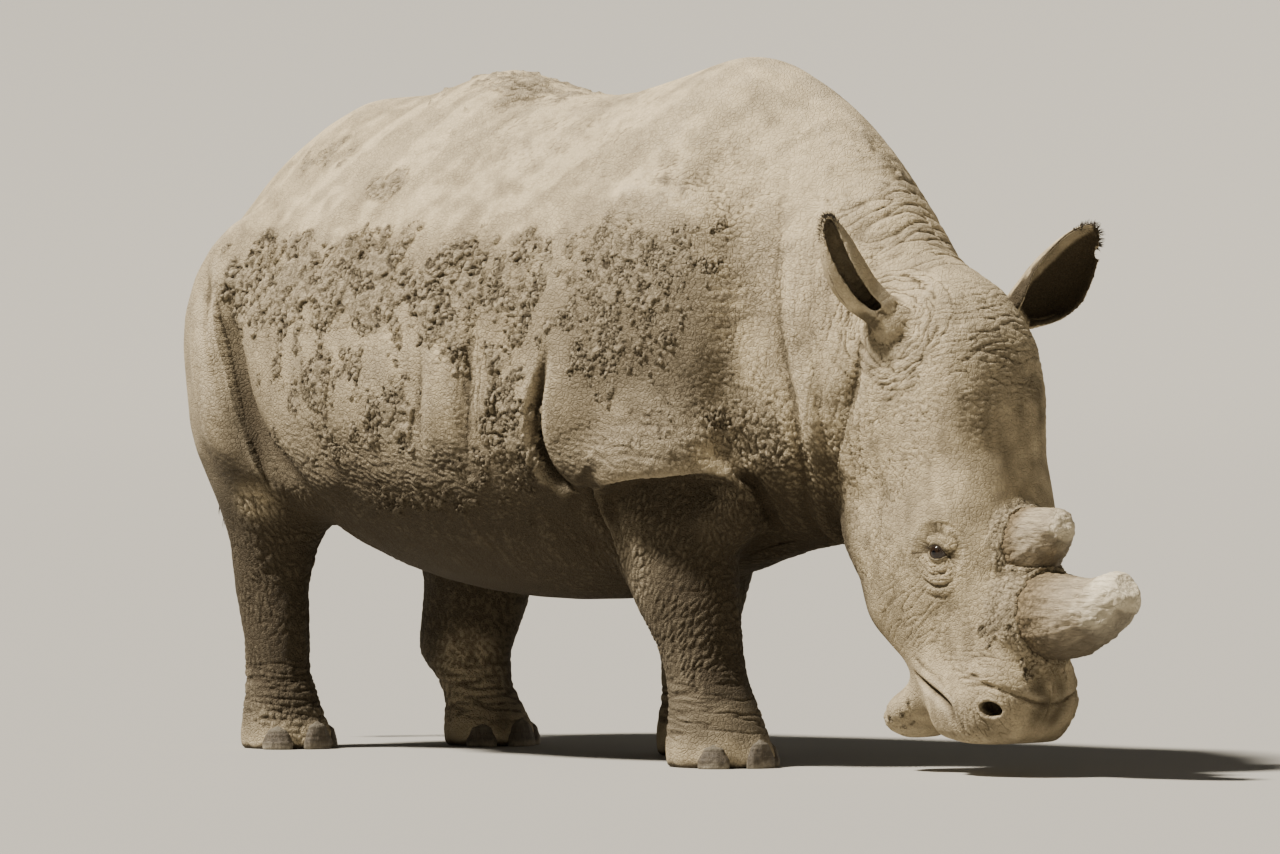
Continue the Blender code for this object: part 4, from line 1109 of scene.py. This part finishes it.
def unwrap(body):
    """Lays the skin flat: a chart for each part of the body as seen from each of six sides."""
    mesh, p = body.obj.data, body.base
    vertex, face, total = loops_of(mesh)
    normal = np.column_stack([np.bincount(face, body.base_normal[vertex, k]) for k in range(3)])
    axis = np.abs(normal).argmax(axis=1)
    up = normal[np.arange(len(axis)), axis] > 0
    first = np.concatenate([[0], np.cumsum(total)[:-1]])
    chart = (zones(body)[vertex[first]] * 6 + axis * 2 + up)[face]
    flat = np.empty((len(vertex), 2))
    boxes = []
    for c in np.unique(chart):
        here = np.nonzero(chart == c)[0]
        q = p[vertex[here]][:, [k for k in range(3) if k != (c % 6) // 2]]
        low = q.min(axis=0)
        flat[here] = q - low
        boxes.append((*(q.max(axis=0) - low + 2 * CHART_MARGIN), here))
    boxes.sort(key=lambda box: -box[1])
    wide = LOOSE_PACKING * math.sqrt(sum(w * h for w, h, _ in boxes))
    x = y = shelf = 0.0
    for w, h, here in boxes:
        if x + w > wide:
            x, y, shelf = 0.0, y + shelf, 0.0
        flat[here] += (x + CHART_MARGIN, y + CHART_MARGIN)
        x, shelf = x + w, max(shelf, h)
    flat /= max(wide, y + shelf)
    mesh.uv_layers.new(name="OFBake").uv.foreach_set("vector", flat.astype(np.float32).ravel())
    body.uv = np.zeros((len(p), 2))
    body.uv[vertex] = flat


def give_values(mesh, **layers):
    for name, values in layers.items():
        layer = mesh.attributes.new(name, "FLOAT", "POINT")
        layer.data.foreach_set("value", np.ascontiguousarray(values, np.float32))


def made_skin():
    obj = plain_skin()
    halve(obj, lambda p: head_zone(p) | near_side(p))
    halve(obj, face_spots)
    body = Skin(obj)
    for step in (thin_ears, body_folds, face_folds, wrinkles, caked, dust_and_light_over, dirt_and_shade_below, stained_and_shaded_head,
                 lit_and_shaded_folds, hollows):
        step(body)
    body.co[:, 2] = np.maximum(body.co[:, 2], 0.0)
    set_positions(obj.data, body.co + OFFSET)
    give_values(obj.data, **{name: getattr(body, name) for name in LAYERS})
    unwrap(body)
    return body


# ---- materials ------------------------------------------------------------------------------
class Shader:
    """A material's node tree, with short ways to add to it."""

    def __init__(self, name):
        self.material = bpy.data.materials.new(name)
        self.material.use_nodes = True
        self.tree = self.material.node_tree
        self.surface = self.tree.nodes["Principled BSDF"]
        self.place = self.add("ShaderNodeTexCoord").outputs["Object"]

    def add(self, kind, inputs=None, **settings):
        node = self.tree.nodes.new(kind)
        for key, value in settings.items():
            setattr(node, key, value)
        for key, value in (inputs or {}).items():
            self.put(node.inputs[key], value)
        return node

    def put(self, socket, value):
        if isinstance(value, bpy.types.NodeSocket):
            self.tree.links.new(value, socket)
        else:
            socket.default_value = value

    def value(self, name):
        return self.add("ShaderNodeAttribute", attribute_name=name).outputs["Fac"]

    def math(self, operation, a, b, clamp=False):
        return self.add("ShaderNodeMath", {0: a, 1: b}, operation=operation, use_clamp=clamp).outputs[0]

    def times(self, a, b, clamp=False):
        return self.math("MULTIPLY", a, b, clamp)

    def mix(self, share, a, b, blend="MIX"):
        a, b = (v if isinstance(v, bpy.types.NodeSocket) else (*v, 1.0) for v in (a, b))
        return self.add("ShaderNodeMix", {0: share, 6: a, 7: b}, data_type="RGBA", blend_type=blend).outputs[2]

    def stretch(self, scale):
        return self.add("ShaderNodeMapping", {"Vector": self.place, "Scale": scale}).outputs[0]

    def noise(self, scale, detail=3.0, rough=0.55, vector=None):
        return self.add("ShaderNodeTexNoise", {
            "Vector": vector or self.place, "Scale": scale, "Detail": detail, "Roughness": rough}).outputs["Fac"]

    def edges(self, scale, vector):
        """Distance to the borders between scattered cells."""
        return self.add("ShaderNodeTexVoronoi", {"Vector": vector, "Scale": scale},
                        feature="DISTANCE_TO_EDGE").outputs["Distance"]

    def ramp(self, value, low, high, to_low=0.0, to_high=1.0):
        return self.add("ShaderNodeMapRange", {
            "Value": value, "From Min": low, "From Max": high, "To Min": to_low, "To Max": to_high},
            interpolation_type="SMOOTHSTEP").outputs[0]

    def bump(self, height, distance, strength, below=None):
        inputs = {"Height": height, "Distance": distance, "Strength": strength}
        if below:
            inputs["Normal"] = below
        return self.add("ShaderNodeBump", inputs).outputs[0]

    def done(self, colour, normal=None, **plain):
        self.put(self.surface.inputs["Base Color"], colour)
        if normal:
            self.put(self.surface.inputs["Normal"], normal)
        for key, value in plain.items():
            self.put(self.surface.inputs[key.replace("_", " ")], value)
        return self.material


BARE_HIDE = (0.190, 0.152, 0.096), (0.270, 0.222, 0.146)
DRY_MUD = (0.190, 0.155, 0.098), (0.400, 0.330, 0.220)
DUST_COLOUR, SPECKLE = (0.690, 0.562, 0.350), (0.150, 0.118, 0.072)
# The dirt colour also paints shade on the belly, the legs, in hollows and in the ears.
DIRT_AND_SHADE_COLOUR, NET_COLOUR = (0.032, 0.023, 0.012), (0.070, 0.050, 0.028)
# The colour of depths is painted shade, with dirt, in hollows.
HOLLOW_DIRT_AND_SHADE, CREASE_SHADE_COLOUR = (0.050, 0.036, 0.019), (0.040, 0.028, 0.015)
# The two edge colours are painted highlights on ridges, the first with dust.
RIDGE_DUST_AND_HIGHLIGHT, RIDGE_HIGHLIGHT, GRAIN = (0.640, 0.540, 0.370), (0.420, 0.345, 0.225), (0.360, 0.305, 0.210)
CELL, FINE_CELL = 92.0, 240.0             # cells of the hide's net to a metre


def hide_material():
    """Bare hide, dust over it, mud and dirt with painted shade over both, then the net of small cells, painted
    shade in hollows and creases, and painted highlights on ridges.
    """
    m = Shader("rhino_hide")
    crease, mud, dust, stain, hollow = (m.value(name) for name in LAYERS)
    patches = m.noise(3.5, 4.0, 0.6)
    mottle = m.noise(38.0, 4.0, 0.62)
    grain = m.noise(260.0, 3.0, 0.6)
    warp = m.add("ShaderNodeTexNoise", {"Vector": m.place, "Scale": 30.0}).outputs["Color"]
    warped = m.mix(0.010, m.place, warp, "ADD")
    net = m.edges(CELL, warped)
    fine = m.edges(FINE_CELL, warped)
    hide = m.mix(m.ramp(patches, 0.35, 0.65), *BARE_HIDE)
    clouds = m.ramp(m.noise(9.0, 6.0, 0.66), 0.34, 0.60, 0.50, 1.0)
    streaks = m.ramp(m.noise(1.0, 5.0, 0.62, m.stretch((34.0, 34.0, 7.0))), 0.32, 0.60, 0.70, 1.0)
    powder = m.times(m.times(dust, clouds), m.ramp(mottle, 0.20, 0.60, 0.65, 1.0))
    thickest = m.times(dust, m.ramp(dust, 0.8, 1.0, 0.0, 0.72))
    hide = m.mix(m.math("MAXIMUM", m.times(powder, streaks), thickest), hide, DUST_COLOUR)
    hide = m.mix(m.times(m.ramp(mottle, 0.46, 0.70), 0.30), hide, SPECKLE)
    # Dust and painted highlight on ridges.
    hide = m.mix(m.ramp(hollow, -0.15, -0.95, 0.0, 0.40), hide, RIDGE_DUST_AND_HIGHLIGHT)
    crust = m.mix(m.ramp(m.noise(55.0, 3.0), 0.35, 0.65), *DRY_MUD)
    hide = m.mix(m.times(mud, 0.85), hide, crust)
    # Dirt and painted shade.
    hide = m.mix(m.times(stain, 0.96), hide, DIRT_AND_SHADE_COLOUR)
    lines = m.times(m.ramp(net, 0.0, 0.13, 1.0, 0.0), m.ramp(dust, 0.2, 1.0, 0.34, 0.16))
    lines = m.times(lines, m.ramp(m.noise(13.0, 3.0), 0.35, 0.62, 0.25, 1.0))
    hide = m.mix(lines, hide, NET_COLOUR)
    # Painted shade, with dirt, in the hollows.
    hide = m.mix(m.ramp(hollow, 0.05, 0.90, 0.0, 0.70), hide, HOLLOW_DIRT_AND_SHADE)
    clean = m.ramp(stain, 0.0, 1.0, 1.0, 0.30)
    # Painted highlight on ridges, less where the skin is darkened.
    hide = m.mix(m.times(m.ramp(hollow, -0.20, -0.95, 0.0, 0.22), clean), hide, RIDGE_HIGHLIGHT)
    # Painted shade in creases and cracks.
    hide = m.mix(m.times(crease, 0.78, True), hide, CREASE_SHADE_COLOUR)
    hide = m.mix(m.times(m.ramp(grain, 0.35, 0.75, 0.0, 0.25), clean), hide, GRAIN)
    relief = m.math("ADD", m.ramp(net, 0.0, 0.16), m.times(m.ramp(fine, 0.0, 0.2), 0.35))
    normal = m.bump(relief, m.ramp(dust, 0.3, 1.0, 0.0026, 0.0014), 0.8)
    normal = m.bump(m.noise(150.0, 5.0, 0.65), m.ramp(mud, 0.0, 1.0, 0.0014, 0.0050), 0.85, normal)
    return m.done(hide, normal, Roughness=m.ramp(dust, 0.0, 1.0, 0.82, 0.97), Specular_IOR_Level=0.20)


def keratin_material(name, fibres, cracks, base, pale, grime):
    """Horn and nail: fibres along, grime at the root, a paler worn end, and painted shade on the horn's underside
    and between its root's crusts.
    """
    m = Shader(name)
    tip, root = m.value("tip"), m.value("root")
    fibre = m.noise(1.0, 4.0, 0.6, m.stretch(fibres))
    mottle = m.noise(45.0, 6.0, 0.68)
    colour = m.mix(m.ramp(fibre, 0.35, 0.65), base, [c * 0.62 for c in base])
    colour = m.mix(m.ramp(mottle, 0.42, 0.70, 0.0, 0.6), colour, [c * 0.55 for c in base])
    colour = m.mix(m.times(tip, m.ramp(mottle, 0.30, 0.62, 1.0, 0.55)), colour, pale)
    colour = m.mix(m.times(root, 0.95), colour, grime)
    # Dark grime on the nails, painted shade on the horn's underside.
    colour = m.mix(m.times(m.value("grime"), 0.78), colour, (0.060, 0.046, 0.028))
    # Painted shade in the creases.
    colour = m.mix(m.times(m.value("crease"), 0.8, True), colour, (0.050, 0.037, 0.022))
    splits = m.ramp(m.edges(1.0, m.stretch(cracks)), 0.0, 0.07)
    splits = m.math("MAXIMUM", splits, m.ramp(mottle, 0.40, 0.60))
    colour = m.mix(m.ramp(splits, 1.0, 0.0, 0.0, 0.40), colour, (0.075, 0.056, 0.033))
    normal = m.bump(fibre, 0.0022, 0.8)
    normal = m.bump(splits, 0.0016, 0.7, normal)
    normal = m.bump(m.noise(210.0, 6.0, 0.70), m.ramp(root, 0.0, 1.0, 0.0022, 0.0055), 0.9, normal)
    return m.done(colour, normal, Roughness=m.ramp(root, 0.0, 1.0, 0.62, 0.92), Specular_IOR_Level=0.30)


def eye_material():
    """A black pupil, a brown iris and a dark white, by the angle away from the pupil's middle."""
    m = Shader("eye")
    away = m.value("away")
    iris = m.mix(m.ramp(m.noise(420.0, 3.0), 0.3, 0.7), (0.012, 0.006, 0.003), (0.028, 0.015, 0.008))
    colour = m.mix(m.ramp(away, 0.52, 0.70), iris, (0.034, 0.022, 0.015))
    colour = m.mix(m.ramp(away, 0.20, 0.26, 1.0, 0.0), colour, (0.002, 0.002, 0.003))
    return m.done(colour, None, Roughness=0.12, Specular_IOR_Level=0.55)


def hair_material():
    m = Shader("dark_hair")
    colour = m.mix(m.ramp(m.noise(240.0, 3.0, 0.6), 0.35, 0.65), (0.022, 0.016, 0.010), (0.070, 0.052, 0.034))
    colour = m.mix(m.ramp(m.noise(30.0, 3.0), 0.55, 0.75, 0.0, 0.5), colour, (0.180, 0.145, 0.095))
    return m.done(colour, None, Roughness=0.62, Specular_IOR_Level=0.35)


def dress(obj, material, slot, *replaced):
    obj.data.materials.clear()
    obj.data.materials.append(material)
    obj.data.polygons.foreach_set("material_index", [0] * len(obj.data.polygons))
    smooth_faces(obj.data)
    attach(obj, "root")
    if replaced:
        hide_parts(*replaced)


# ---- horns, nails and eyes ------------------------------------------------------------------
HORN_VOXEL, NAIL_VOXEL = 0.0034, 0.0028
CORNEA_RISE, CORNEA_SPREAD = 0.045, 0.42  # its share of the radius, and its reach as an angle


def fine_copy(name, voxel, rounds):
    return relaxed(union_remesh(name + "_finished", [swollen(name, 0.0)], voxel), rounds)


def horn(name, material, root_x, length, lumps):
    """Strands and lumps along a horn, broken into crusts at its root."""
    obj = fine_copy(name, HORN_VOXEL, 10)
    piece = Skin(obj)
    h = in_head(piece.co)
    along = np.clip((h[:, 0] - root_x) / length, 0, 1)
    rough = 1 - fade(along, 0.10, lumps)
    strands = noise(h * (14.0, 95.0, 95.0), 81) + 0.5 * noise(h * (20.0, 210.0, 210.0), 82)
    piece.move(ALL, 0.0022 * strands * (1 - 0.5 * rough))
    piece.move(ALL, 0.0035 * fractal(h / 0.045, 3, 83))
    first, second = cells(h / 0.016, 84)
    joint = np.clip((second - first) / 0.35, 0, 1)
    piece.move(ALL, rough * (0.0045 * np.sqrt(joint) - 0.0015))
    set_positions(obj.data, piece.co + OFFSET)
    # The grime value here is painted shade on the horn's underside; the crease value is painted shade between the
    # crusts at its root.
    give_values(obj.data, tip=fade(along + 0.10 * noise(h / 0.03, 85), 0.62, 0.80), root=rough,
                crease=rough * (1 - joint) ** 2,
                grime=fade(-piece.normal[:, 2] + 0.25 * noise(h / 0.04, 86), -0.05, 0.85))
    dress(obj, material, "horn", name)


def toenail(name, material):
    """Growth lines round a nail, all of them above its flat sole."""
    obj = fine_copy(name, NAIL_VOXEL, 6)
    piece = Skin(obj)
    p = piece.co
    growth = noise(p * (6, 6, 150), 91)
    above = fade(p[:, 2], 0.002, 0.008)
    piece.move(ALL, 0.0010 * growth * above + 0.0016 * noise(p / 0.02, 92) * above)
    set_positions(obj.data, p + OFFSET)
    top = p[:, 2].max()
    # The crease value is painted shade in the growth grooves; the grime value is grime in patches.
    give_values(obj.data, tip=1 - fade(p[:, 2] + 0.006 * noise(p / 0.015, 93), 0.006, 0.022),
                root=fade(p[:, 2], 0.60 * top, 0.95 * top), crease=fade(-growth, 0.1, 0.6) * 0.5,
                grime=0.4 * fade(noise(p / 0.02, 94), 0.0, 0.6))
    dress(obj, material, "toenail", name)


def eyeball(name, material):
    _, radius, side = eye_of(name)
    bm = bmesh.new()
    bmesh.ops.create_uvsphere(bm, u_segments=48, v_segments=32, radius=radius * 0.985)
    mesh = mesh_of(name + "_finished", bm)
    co = positions(mesh)
    away = np.arccos(np.clip(unit(co) @ eye_axes(side)[0], -1, 1))
    co = co * (1 + CORNEA_RISE * np.exp(-(away / CORNEA_SPREAD) ** 2))[:, None]
    set_positions(mesh, co + middle(name))
    obj = new_object(name + "_finished", mesh)
    give_values(mesh, away=away)
    dress(obj, material, "eye", name)


# ---- hair -----------------------------------------------------------------------------------
ASLANT = (0.31, 0.17, 0.93)               # along none of the hairs
RIM_HAIRS, TIP_HAIRS, LASHES, TAIL_HAIRS = 200, 380, 22, 620


def tufts(name, roots, ways, lengths, radius, uvs, droop=0.0):
    """Solid spikes, three-sided and pointed, each with a small patch of the unwrap at its root."""
    ways = unit(ways)
    side = unit(np.cross(ways, ASLANT))
    other = np.cross(ways, side)
    co, uv = [], []
    for t, r in ((0.0, 1.0), (0.35, 0.85), (0.72, 0.55)):
        centre = roots + ways * (lengths * t)[:, None] - np.array((0, 0, droop)) * (lengths * t * t)[:, None]
        for k in range(3):
            a = 2 * math.pi * k / 3
            co.append(centre + (math.cos(a) * side + math.sin(a) * other) * (radius * r))
            uv.append(uvs + (0.0028 * (t - 0.5), 0.0012 * (k - 1)))
    co.append(roots + ways * lengths[:, None] - np.array((0, 0, droop)) * lengths[:, None])
    uv.append(uvs + (0.0014, 0.0))
    co = np.stack(co, axis=1).reshape(-1, 3)
    uv = np.clip(np.stack(uv, axis=1).reshape(-1, 2), 0, 1)
    one = [(2, 1, 0)]
    for level in (0, 3):
        one += [(level + k, level + (k + 1) % 3, level + 3 + (k + 1) % 3, level + 3 + k) for k in range(3)]
    one += [(6 + k, 6 + (k + 1) % 3, 9) for k in range(3)]
    faces = [tuple(v + 10 * i for v in f) for i in range(len(roots)) for f in one]
    mesh = bpy.data.meshes.new(name)
    mesh.from_pydata((co + OFFSET).tolist(), [], faces)
    vertex = loops_of(mesh)[0]
    mesh.uv_layers.new(name="OFBake").uv.foreach_set("vector", uv[vertex].astype(np.float32).ravel())
    return new_object(name, mesh)


def ear_hair(body, name, material, rng):
    side = side_of(name)
    root = from_head(EAR_ROOT * (1, side, 1))
    own = (body.leaf > 0.6) & (side * body.co[:, 1] > 0)
    reach = np.linalg.norm(body.co - root, axis=1)
    longest = reach[own].max()
    rim = np.nonzero(own & (body.hollow < -0.55) & (reach > 0.45 * longest))[0]
    tip = np.nonzero(own & (reach > longest - 0.045))[0]
    picked = np.concatenate([rng.choice(rim, min(len(rim), RIM_HAIRS), replace=False),
                             rng.choice(tip, min(len(tip), TIP_HAIRS), replace=False)])
    outward = (body.co[picked] - root) / reach[picked][:, None]
    near_tip = fade(reach[picked], longest - 0.06, longest - 0.01)
    ways = outward + 0.75 * body.normal[picked] + 0.22 * rng.standard_normal((len(picked), 3))
    lengths = (0.004 + 0.017 * near_tip) * rng.uniform(0.5, 1.15, len(picked))
    obj = tufts(name + "_hair", body.co[picked] - 0.002 * body.normal[picked], ways, lengths, 0.0008,
                body.uv[picked], 0.15)
    dress(obj, material, "tail_hair")


def lashes(body, name, material, rng):
    centre, ball, side = eye_of(name)
    out, along, up = eye_axes(side)
    roots, ways = [], []
    for k in range(LASHES):
        a = OPENING[0] * (0.86 * (2 * k / (LASHES - 1) - 1)) + 0.0006 * rng.standard_normal()
        b = OPENING[1] * (1 - abs(a / OPENING[0]) ** 2.2) + 0.0014
        depth = math.sqrt(max((ball + LID) ** 2 - a * a - b * b, 1e-6))
        roots.append(centre + along * a + up * b + out * depth)
        ways.append(out - 0.45 * up + along * (a / OPENING[0] * 0.5) + 0.12 * rng.standard_normal(3))
    uvs = np.array([body.uv[np.linalg.norm(body.co - r, axis=1).argmin()] for r in roots])
    obj = tufts(name.replace("eye", "lashes"), np.array(roots), np.array(ways),
                rng.uniform(0.009, 0.014, len(roots)), 0.0006, uvs, 0.25)
    dress(obj, material, "tail_hair")


def tail_brush(body, material, rng):
    low, high = box_of("tail_tuft")
    co = positions(nodes["tail_tuft"].data) - OFFSET
    centre = (low + high) / 2
    level = low[2] + (high[2] - low[2]) * rng.uniform(0.25, 0.98, TAIL_HAIRS)
    surface = co[[rng.choice(np.argsort(np.abs(co[:, 2] - z))[:10]) for z in level]]
    axis = np.column_stack([np.full((TAIL_HAIRS, 2), centre[:2]), surface[:, 2]])
    out = surface - axis
    roots = axis + out * rng.uniform(0.25, 0.92, TAIL_HAIRS)[:, None]
    ways = np.array((0.0, 0.0, -1.0)) + out * 1.2 + 0.05 * rng.standard_normal((TAIL_HAIRS, 3))
    lengths = np.minimum(rng.uniform(0.06, 0.12, TAIL_HAIRS), np.maximum(roots[:, 2] - low[2], 0.012) * 1.02)
    end = np.linalg.norm(body.co - (centre[0], centre[1], high[2]), axis=1).argmin()
    uvs = body.uv[end] + 0.002 * rng.standard_normal((TAIL_HAIRS, 2))
    dress(tufts("tail_brush", roots, ways, lengths, 0.0024, uvs), material, "tail_hair", "tail_tuft")


# ---- stage ----------------------------------------------------------------------------------
VIEW_AZIMUTH, VIEW_RISE, VIEW_DISTANCE = 42.0, 1.0, 28.0
VIEW_TARGET = Vector(OFFSET) + Vector((-0.387, 0.0, 0.825))
FRAME_PIXELS = 1280.0
METRE_IN_PIXELS = 400.0
SENSOR = 36.0
BACKDROP_FLAT, BACKDROP_CURVE, BACKDROP_SIDES = 45.0, 18.0, 96
SUN_AZIMUTH, SUN_RISE, SUN_STRENGTH, SUN_ANGLE = -72.0, 56.0, 9.9, 7.0
SUN_COLOUR = (1.0, 0.945, 0.86)
SKY_COLOUR, SKY_STRENGTH = (0.90, 0.90, 0.90, 1.0), 0.10
FLOOR_COLOUR = (0.36, 0.345, 0.31, 1.0)


def from_view(azimuth, rise):
    """The direction to a place round the model, measured from the camera's own."""
    a, e = math.radians(VIEW_AZIMUTH) + math.radians(azimuth), math.radians(rise)
    return Vector((math.sin(a) * math.cos(e), -math.cos(a) * math.cos(e), math.sin(e)))


def looking(data, back):
    """A camera or light that looks along a direction, given the way back."""
    obj = new_object(data.name, data)
    obj.rotation_euler = (-back).to_track_quat("-Z", "Y").to_euler()
    return obj


def camera():
    data = bpy.data.cameras.new("camera")
    data.sensor_width = SENSOR
    data.lens = METRE_IN_PIXELS * VIEW_DISTANCE / FRAME_PIXELS * SENSOR
    data.clip_end = 200.0
    back = from_view(0.0, VIEW_RISE)
    obj = looking(data, back)
    obj.location = VIEW_TARGET + back * VIEW_DISTANCE
    bpy.context.scene.camera = obj


def backdrop():
    """A wide floor that curves up into a wall all round, with no edge in view."""
    rings = [(0.0, 0.0), (3.0, 0.0), (12.0, 0.0), (BACKDROP_FLAT, 0.0)]
    for k in range(1, 9):
        angle = k * math.pi / 16
        rings.append((BACKDROP_FLAT + BACKDROP_CURVE * math.sin(angle), BACKDROP_CURVE * (1 - math.cos(angle))))
    bm = bmesh.new()
    loops = []
    for radius, height in rings:
        turns = [2 * math.pi * k / BACKDROP_SIDES for k in range(BACKDROP_SIDES if radius else 1)]
        loops.append([bm.verts.new((radius * math.cos(a), radius * math.sin(a), height)) for a in turns])
    for inner, outer in zip(loops[:-1], loops[1:]):
        for k in range(BACKDROP_SIDES):
            after = (k + 1) % BACKDROP_SIDES
            corners = [inner[k], inner[after]] if len(inner) > 1 else [inner[0]]
            bm.faces.new(corners + [outer[after], outer[k]])
    bmesh.ops.recalc_face_normals(bm, faces=bm.faces)
    mesh = mesh_of("floor", bm)
    smooth_faces(mesh)
    return new_object("floor", mesh)


def stage():
    floor = backdrop()
    look = Shader("floor")
    floor.data.materials.append(look.done(FLOOR_COLOUR, Roughness=0.95, Specular_IOR_Level=0.05))
    world = bpy.data.worlds.new("world")
    bpy.context.scene.world = world
    world.use_nodes = True
    sky = world.node_tree.nodes["Background"].inputs
    sky["Color"].default_value = SKY_COLOUR
    sky["Strength"].default_value = SKY_STRENGTH
    key = bpy.data.lights.new("key", "SUN")
    key.energy = SUN_STRENGTH
    key.angle = math.radians(SUN_ANGLE)
    key.color = SUN_COLOUR
    looking(key, from_view(SUN_AZIMUTH, SUN_RISE))


# ---- the model ------------------------------------------------------------------------------
body = made_skin()
dress(body.obj, hide_material(), "hide", *FLESH, *EARS)

hair_look = hair_material()
for k, name in enumerate(EARS):
    ear_hair(body, name, hair_look, np.random.default_rng(11 + k))
for k, name in enumerate(EYES):
    lashes(body, name, hair_look, np.random.default_rng(21 + k))
tail_brush(body, hair_look, np.random.default_rng(31))

horn_look = keratin_material("horn_keratin", (26.0, 210.0, 210.0), (5.0, 75.0, 75.0), (0.420, 0.345, 0.230),
                             (0.720, 0.635, 0.460), (0.230, 0.172, 0.096))
nail_look = keratin_material("nail_keratin", (160.0, 160.0, 60.0), (150.0, 150.0, 40.0), (0.120, 0.098, 0.070),
                             (0.260, 0.225, 0.165), (0.170, 0.148, 0.110))
horn("horn_front", horn_look, 1.02, 0.35, 0.62)
horn("horn_rear", horn_look, 0.98, 0.20, 0.35)
for name in NAILS:
    toenail(name, nail_look)
eye_look = eye_material()
for name in EYES:
    eyeball(name, eye_look)

camera()
stage()
